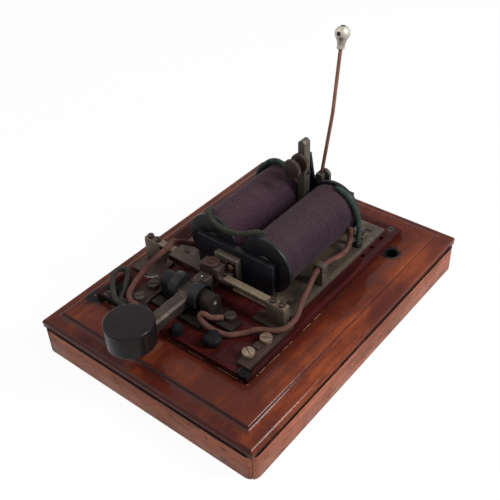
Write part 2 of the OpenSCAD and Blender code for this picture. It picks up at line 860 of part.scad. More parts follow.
module hammer_rod() {
    color("chocolate") {
        rod_leg(rod_root, rod_bend);
        rod_leg(rod_bend, rod_tip);
        translate([rod_x, rod_bend[0], rod_bend[1]]) sphere(r = rod_r + fit);
    }
}

module hammer_head() {
    ball = sqrt(ball_r * ball_r - 9);
    color("silver") translate([rod_x, rod_tip[0], rod_tip[1]]) rotate([-rod_lean, 0, 0]) difference() {
        translate([0, 0, neck_l - rod_in]) union() {
            sphere(r = ball_r);
            translate([0, 0, -neck_l]) cylinder(r1 = rod_r + 0.8, r2 = 3, h = neck_l - ball);
        }
        translate([0, 0, -rod_in - cut]) cylinder(r = rod_r + fit, h = rod_in + cut + seat);
    }
}

// Key

module key_sole() {
    anvil = [key_x, pivot_y - 16];
    color("darkkhaki") {
        block([key_x - sole_half, key_x + sole_half], [foot_front - cut, pivot_y + sole_back],
            [raised_top, strip_top]);
        block([key_x - sole_half - sole_out, key_x + sole_half + 9], [foot_front - 11, foot_front - cut],
            [raised_top, strip_top]);
        at_points([anvil], raised_top) cylinder(r = 3.4, h = lever_low - raised_top - foot_gap);
    }
}

module key_spring() {
    leaf = 0.8;
    root = pivot_y + 16;
    tip = pivot_y - 11;
    low = strip_top;
    high = lever_low - foot_gap;
    color("slategray") profile_along_x(key_x - 4, 8)
        polygon([[root, low], [root, low + leaf], [root - 7, low + leaf], [tip, high], [tip, high - leaf],
            [root - 7.4, low]]);
}

module pedestal(s, foot_x, foot_y) {
    thick = pedestal_out - pedestal_in;
    inner = s > 0 ? key_x + pedestal_in : key_x - pedestal_out;
    boss = s > 0 ? key_x + boss_in : key_x - pedestal_out;
    color("peru") difference() {
        union() {
            block([inner, inner + thick], [foot_front, foot_back], [raised_top, pivot_z]);
            along_x(boss, pivot_y, pivot_z, boss_r, pedestal_out - boss_in);
            block(foot_x, foot_y, [raised_top, strip_top]);
        }
        along_x(boss - cut, pivot_y, pivot_z, key_arbor_r + fit, pedestal_out - boss_in + 2 * cut);
        at_points(pedestal_holes, raised_top - cut) cylinder(r = shank_r + fit, h = strip_t + 2 * cut);
    }
}

module left_pedestal() {
    pedestal(-1, [key_x - pedestal_out, key_x - pedestal_in], [foot_front, foot_back + 11]);
}

module right_pedestal() {
    pedestal(1, [key_x + pedestal_in, pedestal_holes[0][0] + foot_out], [foot_front + cut, foot_back]);
}

module cheese_screws() {
    color("gold") for (i = [0 : len(strip_holes) - 1])
        translate([strip_holes[i][0], strip_holes[i][1], strip_top]) rotate([0, 0, screw_turns[i]])
            slotted_screw(cheese_r, cheese_h, shank_r, wood_deep);
}

module key_arbor() {
    color("silver") along_x(key_x - arbor_out, pivot_y, pivot_z, key_arbor_r, 2 * arbor_out);
}

module key_lever() {
    half = lever_w / 2;
    bevel = 1.6;
    color("darkkhaki") difference() {
        union() {
            profile_along_y(lever_end, hub_front + 2 - lever_end) polygon([
                [key_x - half, lever_low], [key_x + half, lever_low], [key_x + half, lever_top - bevel],
                [key_x + half - bevel, lever_top], [key_x - half + bevel, lever_top],
                [key_x - half, lever_top - bevel]]);
            profile_along_x(key_x - half, lever_w) polygon([
                [hub_front, lever_low], [hub_front, lever_top - bevel], [hub_front + 4, hub_top],
                [hub_back, hub_top], [hub_back, tail_seat], [tail_y[1], tail_seat], [tail_y[1], arm_low],
                [hub_back - 6, arm_low], [hub_back - 12, lever_low]]);
        }
        along_x(key_x - half - cut, pivot_y, pivot_z, key_arbor_r + fit, lever_w + 2 * cut);
        translate([key_x, tail_mid, arm_low - cut]) cylinder(r = tail_shank + fit, h = 20);
        translate([key_x, knob_y, lever_low - cut]) cylinder(r = shank_r + fit, h = lever_h + 2 * cut);
    }
}

module collar(s) {
    inner = s > 0 ? key_x + collar_in : key_x - collar_out;
    recess = s > 0 ? key_x + collar_out - recess_l : key_x - collar_out - cut;
    color("darkslategray") difference() {
        along_x(inner, pivot_y, pivot_z, collar_r, collar_l);
        along_x(inner - cut, pivot_y, pivot_z, key_arbor_r + fit, collar_l + 2 * cut);
        along_x(recess, pivot_y, pivot_z, recess_r, recess_l + cut);
    }
}

module left_collar() {
    collar(-1);
}

module right_collar() {
    collar(1);
}

module tail_block() {
    right = key_x + tail_half;
    lug_right = stud_at[0] + stud_r;
    lug_z = [stud_seat - stud_lug_t, stud_seat];
    color("darkkhaki") difference() {
        union() {
            block([key_x - tail_half, right], tail_y, [tail_seat, tail_top]);
            block([right - cut, right_bar_end + foot_lap], [tail_y[0], contact_y + bar_w],
                [foot_top - foot_t, foot_top]);
            block([right - cut, lug_right], [tail_y[1] - stud_lug_d, tail_y[1]], lug_z);
            block([stud_at[0] - stud_r, lug_right], [tail_y[1] - cut, stud_at[1] + stud_r], lug_z);
        }
        translate([key_x, tail_mid, tail_seat - cut]) cylinder(r = tail_shank + fit, h = 20);
        at_points([stud_at], lug_z[0] - cut) cylinder(r = small_shank + fit, h = stud_lug_t + 2 * cut);
    }
}

module tail_screw() {
    cap_r = 6.6;
    cap_h = 2.4;
    head_r = 3.6;
    head_h = 1.6;
    color("rosybrown") translate([key_x, tail_mid, tail_top]) {
        cylinder(r = cap_r, h = cap_h);
        translate([0, 0, cap_h]) rotate([0, 0, 35]) slotted_screw(head_r, head_h, tail_shank, 17);
    }
}

module contact_stud() {
    dome = stud_r;
    color("sienna") at_points([stud_at], stud_seat) {
        cylinder(r = stud_r, h = stud_top - stud_seat - dome);
        translate([0, 0, stud_top - stud_seat - dome]) sphere(r = dome);
        translate([0, 0, -stud_lug_t]) cylinder(r = small_shank, h = stud_lug_t + cut);
    }
}

module knob() {
    slot = lever_w / 2 + seat;
    round = 2;
    color("black") difference() {
        translate([key_x, knob_y, knob_low]) rotate_extrude() union() {
            square([knob_r - round, knob_h]);
            translate([0, round]) square([knob_r, knob_h - 2 * round]);
            translate([knob_r - round, round]) circle(r = round);
            translate([knob_r - round, knob_h - round]) circle(r = round);
        }
        block([key_x - slot, key_x + slot], [lever_end - seat, knob_y + knob_r + cut],
            [knob_low - cut, lever_top + seat]);
        translate([key_x, knob_y, knob_low]) cylinder(r = shank_r + fit, h = knob_h - 4);
    }
}

module knob_screw() {
    color("goldenrod") translate([key_x, knob_y, lever_low]) mirror([0, 0, 1])
        slotted_screw(small_r, 2, shank_r, lever_h + knob_h - knob_sink - 5);
}

// Contacts

module right_strip() {
    color("darkkhaki") difference() {
        union() {
            block(right_strip_x, [strip_front, contact_back], [raised_top, strip_top]);
            block(right_ear_x, [contact_y - ear_in, contact_back], [raised_top, strip_top]);
            block([right_strip_x[0], right_strip_x[0] + link_w], link_y, [raised_top, strip_top + link_t]);
        }
        at_points(right_strip_holes, raised_top - cut) cylinder(r = shank_r + fit, h = strip_t + 2 * cut);
    }
}

module left_strip() {
    color("darkkhaki") difference() {
        union() {
            block(left_strip_x, [strip_front, left_strip_end], [raised_top, strip_top]);
            block(left_ear_x, [left_ear_front, contact_back + link_t], [raised_top, strip_top]);
        }
        at_points(left_strip_holes, raised_top - cut) cylinder(r = shank_r + fit, h = strip_t + 2 * cut);
    }
}

module contact_post(x, top, holes) {
    color("darkkhaki") difference() {
        block(x, [contact_y, contact_back], [strip_top, top]);
        at_points(holes, top - bar_screw_l - fit) cylinder(r = small_shank + fit, h = bar_screw_l + cut);
        block(lower_spring_x, [contact_mid - bar_w / 2, contact_mid + bar_w / 2],
            [lower_spring_z, lower_spring_z + lower_spring_t]);
    }
}

module left_contact_post() {
    contact_post(left_post_x, left_bar_z, left_bar_holes);
}

module right_contact_post() {
    contact_post(right_post_x, right_bar_z, right_bar_holes);
}

module contact_bar(x, z, holes) {
    difference() {
        block(x, [contact_mid - bar_w / 2, contact_mid + bar_w / 2], [z, z + bar_t]);
        at_points(holes, z - cut) cylinder(r = small_shank + fit, h = bar_t + 2 * cut);
    }
}

module contact_bars() {
    color("khaki") {
        contact_bar([right_bar_end, right_post_x[1]], right_bar_z, right_bar_holes);
        contact_bar([left_post_x[0], left_bar_end], left_bar_z, left_bar_holes);
        block(lower_spring_x, [contact_mid - bar_w / 2, contact_mid + bar_w / 2],
            [lower_spring_z, lower_spring_z + lower_spring_t]);
    }
}

module small_screw(deep) {
    slotted_screw(small_r, small_h, small_shank, deep);
}

module small_screws() {
    color("silver") {
        at_points(right_bar_holes, right_bar_z + bar_t) small_screw(bar_t + bar_screw_l);
        at_points(left_bar_holes, left_bar_z + bar_t) small_screw(bar_t + bar_screw_l);
        at_points(bracket_holes, plate_top + strip_t) small_screw(strip_t + plate_t);
        translate([post_w / 2, post_back - 2.5, plate_top + clamp_h]) rotate([0, 90, 0])
            slotted_screw(1.8, 1.6, small_shank, post_w / 2);
    }
}

module wire_lug() {
    color("darkkhaki") difference() {
        translate([lug_at[0] - lug_size[0] / 2, lug_at[1] - lug_size[1] / 2, plate_top])
            cube([lug_size[0], lug_size[1], wire_lug_h]);
        along_y(lug_bore[0], lug_at[1] - lug_size[1], lug_bore[1], lead_d / 2 + seat, 2 * lug_size[1]);
        along_x(lug_bore[0], lug_at[1], lug_bore[1] - 4.5, small_shank, lug_size[0]);
    }
}

module lead_bushes() {
    color("black") at_points(bush_points, plate_top) {
        cylinder(r = bush_r, h = 2.2);
        translate([0, 0, -plate_t]) cylinder(r = bush_r - cut, h = plate_t + cut);
    }
}

module terminal_studs() {
    color("dimgray") at_points(stud_points, raised_top) {
        cylinder(r = stud_base_r, h = 8);
        cylinder(r = stud_base_r - 1.4, h = 9.6);
    }
}

// Leads

module right_lead() {
    color("brown") tube(right_route, lead_d, 8);
}

module left_lead() {
    color("brown") tube(left_route, lead_d, 8);
}

module coil_leads() {
    color("darkseagreen") {
        tube(front_route, silk_d, 8);
        tube(rear_right_route, silk_d, 8);
        tube(rear_left_route, silk_d, 8);
    }
}

module grey_lead() {
    color("slategray") tube(grey_route, lead_d, 8);
}

module taped_splice() {
    color("black") translate([splice_at[0], splice_at[1] - splice_l / 2, raised_top + splice_r])
        rotate([-90, 0, 0]) {
            translate([0, 0, splice_r]) sphere(r = splice_r);
            translate([0, 0, splice_r]) cylinder(r = splice_r, h = splice_l - 2 * splice_r);
            translate([0, 0, splice_l - splice_r]) sphere(r = splice_r);
        }
}

plinth_front();
plinth_back();
plinth_left();
plinth_right();
bottom_board();
moulded_board();
raised_board();
countersunk_screws();
magnet_plate();
yoke();
left_core();
right_core();
left_front_cheek();
left_rear_cheek();
right_front_cheek();
right_rear_cheek();
left_inner_winding();
right_inner_winding();
left_winding();
right_winding();
bridge_bracket();
stop_post();
stop_screw();
stop_nut();
armature();
armature_arbor();
armature_brackets();
armature_tail();
hammer_lug();
lug_screws();
hammer_rod();
hammer_head();
key_sole();
key_spring();
left_pedestal();
right_pedestal();
cheese_screws();
key_arbor();
key_lever();
left_collar();
right_collar();
tail_block();
tail_screw();
contact_stud();
knob();
knob_screw();
left_strip();
right_strip();
left_contact_post();
right_contact_post();
contact_bars();
small_screws();
wire_lug();
lead_bushes();
terminal_studs();
right_lead();
left_lead();
coil_leads();
grey_lead();
taped_splice();
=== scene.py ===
import logging
import math
from dataclasses import dataclass, field, replace
from enum import Enum
from typing import Any, Protocol, Sequence

import bmesh
import bpy
from mathutils import Matrix, Vector


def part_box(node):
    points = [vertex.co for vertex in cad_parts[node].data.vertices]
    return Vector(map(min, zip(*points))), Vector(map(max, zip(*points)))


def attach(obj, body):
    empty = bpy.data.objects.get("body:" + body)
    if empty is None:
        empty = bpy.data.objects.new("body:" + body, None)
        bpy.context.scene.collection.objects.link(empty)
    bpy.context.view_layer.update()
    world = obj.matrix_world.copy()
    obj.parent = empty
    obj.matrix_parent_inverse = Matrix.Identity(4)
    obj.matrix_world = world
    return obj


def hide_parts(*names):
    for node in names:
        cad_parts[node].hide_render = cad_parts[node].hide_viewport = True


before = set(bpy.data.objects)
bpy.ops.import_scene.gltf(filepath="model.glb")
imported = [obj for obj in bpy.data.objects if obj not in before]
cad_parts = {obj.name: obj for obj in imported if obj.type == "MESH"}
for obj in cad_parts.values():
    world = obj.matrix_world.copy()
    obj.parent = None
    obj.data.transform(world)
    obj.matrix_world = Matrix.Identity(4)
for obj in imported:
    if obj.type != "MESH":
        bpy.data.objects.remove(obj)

# Dresses a railway block bell: wooden base, electromagnet, hammer and tapper key.
# Finishes are in metres, as their coordinates are. Pieces are in millimetres.

log = logging.getLogger("block_bell")
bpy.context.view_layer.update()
MM = 0.001
TURN = 2 * math.pi
UP = (0.0, 0.0, 1.0)
Colour = tuple[float, float, float]
Point = tuple[float, float, float]
Oblong = tuple[float, float, float, float]
Node = bpy.types.Node
Socket = bpy.types.NodeSocket
Tree = bpy.types.NodeTree
Material = bpy.types.Material
Mesh = bmesh.types.BMesh
Vert, Edge, Face = bmesh.types.BMVert, bmesh.types.BMEdge, bmesh.types.BMFace


class Body(Enum):
    """The rigid bodies that pieces ride on."""

    BASE = "base"
    KEY = "key"
    STRIKER = "striker"
    STOP_SCREW = "stop_screw"
    STOP_NUT = "stop_nut"


class Piece(Protocol):
    """Anything that the main function builds."""

    def build(self) -> None:
        """Builds it in the scene."""


class Grain(Enum):
    """The way that the fibres of a piece of timber run."""

    ALONG_X = 0.0
    ALONG_Y = math.pi / 2


@dataclass(frozen=True)
class Speckle:
    """A noise pattern: its patches per metre, its layers and how much the fine ones count."""

    scale: Any = 1.0
    layers: float = 4.0
    fine: float = 0.55

    def at(self, scale: Any) -> "Speckle":
        """The same pattern at another scale."""
        return replace(self, scale=scale)


@dataclass(frozen=True)
class Ramp:
    """A smooth step between two thresholds."""

    low: float
    high: float
    at_low: float = 0.0
    at_high: float = 1.0

    def between(self, at_low: float, at_high: float) -> "Ramp":
        """The same thresholds with other values."""
        return replace(self, at_low=at_low, at_high=at_high)


class Graph:
    """Adds and links shader nodes in one tree."""

    def __init__(self, tree: Tree) -> None:
        """Keeps the tree that the nodes go into."""
        self.tree = tree

    def fill(self, node: Node, inputs: dict[Any, Any]) -> Node:
        """Links or sets a node's inputs.

        Args:
            node: the node.
            inputs: values or output sockets, by input name or number. A colour has three numbers.

        Returns:
            The same node.
        """
        for key, value in inputs.items():
            target = node.inputs[key]
            if isinstance(value, Socket):
                self.tree.links.new(value, target)
            else:
                target.default_value = (*value, 1.0) if target.type == "RGBA" else value
        return node

    def add(self, kind: str, inputs: dict[Any, Any] | None = None, **settings: Any) -> Node:
        """Adds one node.

        Args:
            kind: the node's type, without the ShaderNode prefix.
            inputs: what its inputs get.
            settings: the node's own properties.

        Returns:
            The new node.
        """
        node = self.tree.nodes.new("ShaderNode" + kind)
        for name, value in settings.items():
            setattr(node, name, value)
        return self.fill(node, inputs or {})

    def group(self, tree: Tree, **inputs: Any) -> Any:
        """Places a shared group, fills its inputs and returns its outputs."""
        return self.fill(self.add("Group", node_tree=tree), inputs).outputs

    def math(self, operation: str, a: Any, b: Any = 0.5, clamp: bool = False) -> Socket:
        """Adds a Math node and returns its output."""
        return self.add("Math", {0: a, 1: b}, operation=operation, use_clamp=clamp).outputs[0]

    def product(self, value: Any, *factors: Any) -> Socket:
        """Multiplies values and returns the result."""
        for factor in factors:
            value = self.math("MULTIPLY", value, factor)
        return value

    def scaled(self, value: Any, factor: float, offset: float) -> Socket:
        """Multiplies a value, adds an offset and returns the result."""
        return self.add("Math", {0: value, 1: factor, 2: offset}, operation="MULTIPLY_ADD").outputs[0]

    def mix(self, factor: Any, a: Any, b: Any) -> Socket:
        """Mixes two colours and returns the result."""
        return self.add("Mix", {0: factor, 6: a, 7: b}, data_type="RGBA", clamp_factor=True).outputs[2]

    def noise(self, vector: Any, speckle: Speckle) -> Socket:
        """Adds a noise texture and returns its grey value."""
        names = ("Vector", "Scale", "Detail", "Roughness")
        values = (vector, speckle.scale, speckle.layers, speckle.fine)
        return self.add("TexNoise", dict(zip(names, values))).outputs[0]

    def stretch(self, vector: Any, scale: Point, turn: Point = (0.0, 0.0, 0.0)) -> Socket:
        """Turns and scales coordinates and returns them."""
        return self.add("Mapping", {"Vector": vector, "Rotation": turn, "Scale": scale}).outputs[0]

    def split(self, vector: Any, axis: int) -> Socket:
        """Takes one axis of a vector."""
        return self.add("SeparateXYZ", {0: vector}).outputs[axis]

    def step(self, value: Any, ramp: Ramp) -> Socket:
        """Maps a value along a ramp and returns it."""
        inputs = {0: value, 1: ramp.low, 2: ramp.high, 3: ramp.at_low, 4: ramp.at_high}
        return self.add("MapRange", inputs, interpolation_type="SMOOTHSTEP").outputs[0]


class SharedEffects:
    """Shader groups that several finishes use, each built once."""

    CLOUD = Speckle(layers=5.0, fine=0.6)
    CLOUDED = Ramp(0.38, 0.66)
    SPOTS = Speckle(layers=6.0, fine=0.65)
    SPOTS_FINER = 6.3
    SPOTTED = Ramp(0.5, 0.74, 0.0, 0.7)
    ROUGHENED = (0.4, 0.5)
    PATCHES = Speckle(layers=5.0, fine=0.65)
    RUBBED = Ramp(0.4, 0.6, 0.08, 1.0)
    BEND = Speckle(layers=2.0)
    BEND_WIDTH = 0.02
    STREAK = Speckle(layers=5.0, fine=0.6)
    STREAK_STRETCH = (1.3, 24.0, 24.0)
    STREAKED = Ramp(0.25, 0.72, 0.25, 0.95)
    FIGURE = Speckle(layers=3.0)
    FIGURE_STRETCH = (1.6, 4.6, 4.6)
    FIGURED = Ramp(0.46, 0.7, 0.0, 0.75)
    PORE = Speckle(layers=2.0, fine=0.6)
    PORE_STRETCH = (14.0, 120.0, 120.0)
    PORED = Ramp(0.56, 0.66)
    PORE_DEPTH = 0.8
    IN_JOINT = Ramp(0.45, 1.0, 1.0, 0.0)
    JOINT_RAGGED = Speckle(45.0, 3.0)
    UNEVEN = Ramp(0.25, 0.55, 0.75, 1.0)
    LEVEL = Ramp(0.35, 0.98)
    SETTLED = Ramp(0.3, 0.72)

    def __init__(self) -> None:
        """Builds every group."""
        self.patina = self._patina()
        self.edge_wear = self._edge_wear()
        self.grain = self._grain()
        self.joint_shade = self._joint_shade()
        self.dust = self._dust()
        self.wrap = self._wrap()

    @staticmethod
    def _open(name: str, inputs: dict[str, str], outputs: dict[str, str]) -> tuple[Graph, Any, Node]:
        """Starts a group with named sockets.

        Args:
            name: the group's name.
            inputs: socket types by input name.
            outputs: socket types by output name.

        Returns:
            The graph, the group's inputs by name and the node that takes its outputs.
        """
        tree = bpy.data.node_groups.new(name, "ShaderNodeTree")
        for way, sockets in (("INPUT", inputs), ("OUTPUT", outputs)):
            for key, kind in sockets.items():
                tree.interface.new_socket(key, in_out=way, socket_type="NodeSocket" + kind)
        source = tree.nodes.new("NodeGroupInput")
        return Graph(tree), source.outputs, tree.nodes.new("NodeGroupOutput")

    def _patina(self) -> Tree:
        """Cloudy tarnish with darker stains."""
        g, i, sink = self._open(
            "patina",
            {"Vector": "Vector", "Scale": "Float", "Base": "Color", "Tarnish": "Color", "Stain": "Color"},
            {"Color": "Color", "Rough": "Float", "Height": "Float"},
        )
        cloud = g.noise(i["Vector"], self.CLOUD.at(i["Scale"]))
        spots = g.noise(i["Vector"], self.SPOTS.at(g.product(i["Scale"], self.SPOTS_FINER)))
        colour = g.mix(g.step(cloud, self.CLOUDED), i["Base"], i["Tarnish"])
        colour = g.mix(g.step(spots, self.SPOTTED), colour, i["Stain"])
        g.fill(sink, {"Color": colour, "Rough": g.scaled(cloud, *self.ROUGHENED), "Height": spots})
        return g.tree

    def _edge_wear(self) -> Tree:
        """Rubbed edges, broken up by noise."""
        inputs = {"Vector": "Vector", "Edge": "Float", "Amount": "Float", "Scale": "Float"}
        g, i, sink = self._open("edge_wear", inputs, {"Mask": "Float"})
        patchy = g.step(g.noise(i["Vector"], self.PATCHES.at(i["Scale"])), self.RUBBED)
        g.fill(sink, {"Mask": g.math("MULTIPLY", g.product(i["Edge"], patchy), i["Amount"], True)})
        return g.tree

    def _grain(self) -> Tree:
        """Wood grain with its fibres along X: figure, streaks and pores, a little wavy."""
        inputs = {"Vector": "Vector", "Scale": "Float", "Light": "Color", "Dark": "Color", "Pore": "Color"}
        g, i, sink = self._open("grain", {**inputs, "Pores": "Float"}, {"Color": "Color", "Height": "Float"})
        scale = i["Scale"]
        bend = g.math("SUBTRACT", g.noise(i["Vector"], self.BEND.at(scale)), 0.5)
        sideways = g.add("CombineXYZ", {1: g.product(bend, self.BEND_WIDTH)}).outputs[0]
        wavy = g.add("VectorMath", {0: i["Vector"], 1: sideways}, operation="ADD").outputs[0]
        streak = g.noise(g.stretch(wavy, self.STREAK_STRETCH), self.STREAK.at(scale))
        figure = g.noise(g.stretch(wavy, self.FIGURE_STRETCH), self.FIGURE.at(scale))
        pores = g.step(g.noise(g.stretch(wavy, self.PORE_STRETCH), self.PORE.at(scale)), self.PORED)
        colour = g.mix(g.step(streak, self.STREAKED), i["Dark"], i["Light"])
        colour = g.mix(g.step(figure, self.FIGURED), colour, i["Dark"])
        colour = g.mix(g.product(pores, i["Pores"]), colour, i["Pore"])
        height = g.math("SUBTRACT", streak, g.product(pores, self.PORE_DEPTH))
        g.fill(sink, {"Color": colour, "Height": height})
        return g.tree

    def _joint_shade(self) -> Tree:
        """Painted shade that lies along a level joint, a little uneven."""
        inputs = {"Vector": "Vector", "Seam": "Float", "Reach": "Float"}
        g, i, sink = self._open("joint_shade", inputs, {"Mask": "Float"})
        off = g.math("ABSOLUTE", g.math("SUBTRACT", g.split(i["Vector"], 2), i["Seam"]))
        near = g.step(g.math("DIVIDE", off, i["Reach"]), self.IN_JOINT)
        uneven = g.step(g.noise(i["Vector"], self.JOINT_RAGGED), self.UNEVEN)
        g.fill(sink, {"Mask": g.product(near, uneven)})
        return g.tree

    def _dust(self) -> Tree:
        """Dust that lies on faces that look up."""
        inputs = {"Vector": "Vector", "Scale": "Float", "Amount": "Float"}
        g, i, sink = self._open("dust", inputs, {"Mask": "Float"})
        up = g.split(g.add("TexCoord").outputs["Normal"], 2)
        patchy = g.step(g.noise(i["Vector"], self.PATCHES.at(i["Scale"])), self.SETTLED)
        lying = g.product(g.step(up, self.LEVEL), patchy)
        g.fill(sink, {"Mask": g.math("MULTIPLY", lying, i["Amount"], True)})
        return g.tree

    def _wrap(self) -> Tree:
        """Thread laid round a cord, read from its own map: U runs along it in metres, V once round it."""
        inputs = {"UV": "Vector", "Threads": "Float", "Twist": "Float"}
        g, i, sink = self._open("wrap", inputs, {"Ridge": "Float", "Fleck": "Float"})
        along = g.product(g.split(i["UV"], 0), i["Threads"])
        turned = g.math("ADD", along, g.product(g.split(i["UV"], 1), i["Twist"]))
        wave = g.math("SINE", g.product(turned, TURN))
        thread = g.add("TexWhiteNoise", {"W": g.math("FLOOR", turned)}, noise_dimensions="1D")
        g.fill(sink, {"Ridge": g.scaled(wave, 0.5, 0.5), "Fleck": thread.outputs[0]})
        return g.tree


EFFECTS = SharedEffects()


class Surface:
    """A material in the making, with the effects that most finishes share."""

    def __init__(self, name: str) -> None:
        """Starts the material with a Principled shader."""
        self.material = bpy.data.materials.new(name)
        self.material.use_nodes = True
        self.graph = Graph(self.material.node_tree)
        self.shader = self.material.node_tree.nodes["Principled BSDF"]
        self.coords = self.graph.add("TexCoord").outputs
        self.place = self.coords["Object"]

    def dress(self, inputs: dict[str, Any]) -> None:
        """Links or sets inputs of the shader."""
        self.graph.fill(self.shader, inputs)

    def rubbed(self, colour: Any, bare: Colour, amount: float, scale: float, share: Any = 1.0) -> Socket:
        """Rubs a piece's rounded edges.

        Args:
            colour: the colour so far.
            bare: the colour under it.
            amount: how far the edges are rubbed, from 0 to 1.
            scale: the patches of wear per metre.
            share: how much of the wear shows.

        Returns:
            The new colour.
        """
        g = self.graph
        edge = g.product(g.add("Attribute", attribute_name="edge").outputs["Fac"], share)
        worn = g.group(EFFECTS.edge_wear, Vector=self.place, Edge=edge, Amount=amount, Scale=scale)
        return g.mix(worn["Mask"], colour, bare)

    def dusted(self, colour: Any, dust: Colour, amount: float, scale: float) -> tuple[Socket, Socket]:
        """Lays dust on the faces that look up.

        Args:
            colour: the colour so far.
            dust: the dust's colour.
            amount: how thick it lies, from 0 to 1.
            scale: its patches per metre.

        Returns:
            The new colour, and the mask of the dust.
        """
        mask = self.graph.group(EFFECTS.dust, Vector=self.place, Scale=scale, Amount=amount)["Mask"]
        return self.graph.mix(mask, colour, dust), mask

    def raised(self, height: Any, strength: float, distance: float = 0.0002) -> None:
        """Gives the surface a fine relief, with its height in metres."""
        inputs = {"Strength": strength, "Distance": distance, "Height": height}
        self.dress({"Normal": self.graph.add("Bump", inputs).outputs[0]})


def footprint(*nodes: str) -> Oblong:
    """Measures CAD nodes from above.

    Args:
        nodes: their names.

    Returns:
        The centre and the half sizes of the box round them, in metres.
    """
    boxes = [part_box(node) for node in nodes]
    low = [min(box[0][axis] for box in boxes) for axis in (0, 1)]
    high = [max(box[1][axis] for box in boxes) for axis in (0, 1)]
    return *((a + b) / 2 for a, b in zip(low, high)), *((b - a) / 2 for a, b in zip(low, high))


def patch_at(place: tuple[float, float], radius: float) -> Point:
    """Turns a mark's place and radius in millimetres into metres."""
    return place[0] * MM, place[1] * MM, radius * MM


# Levels read from the CAD, in metres, and places on the base, in millimetres.
RAILS = ("plinth_front", "plinth_back", "plinth_left", "plinth_right")
PLINTH_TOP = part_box("moulded_board")[0].z
RAISED_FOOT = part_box("raised_board")[0].z
FOOT_RUB = 1.5 * MM
WIRE_HOLE = (81.0, 89.8)
SEALED_SCREW = (68.7, -104.5)
# the plinth's front-left corner is darkened: painted shade of a rounded corner, and worn black edges
WORN_SHADED_CORNER = (-114.0, -152.5)
# a dark patch at the raised board's front-left corner
DARK_CORNER = (-91.0, -108.0)
GREY_LEAD_FOOT = (-72.0, -98.0)


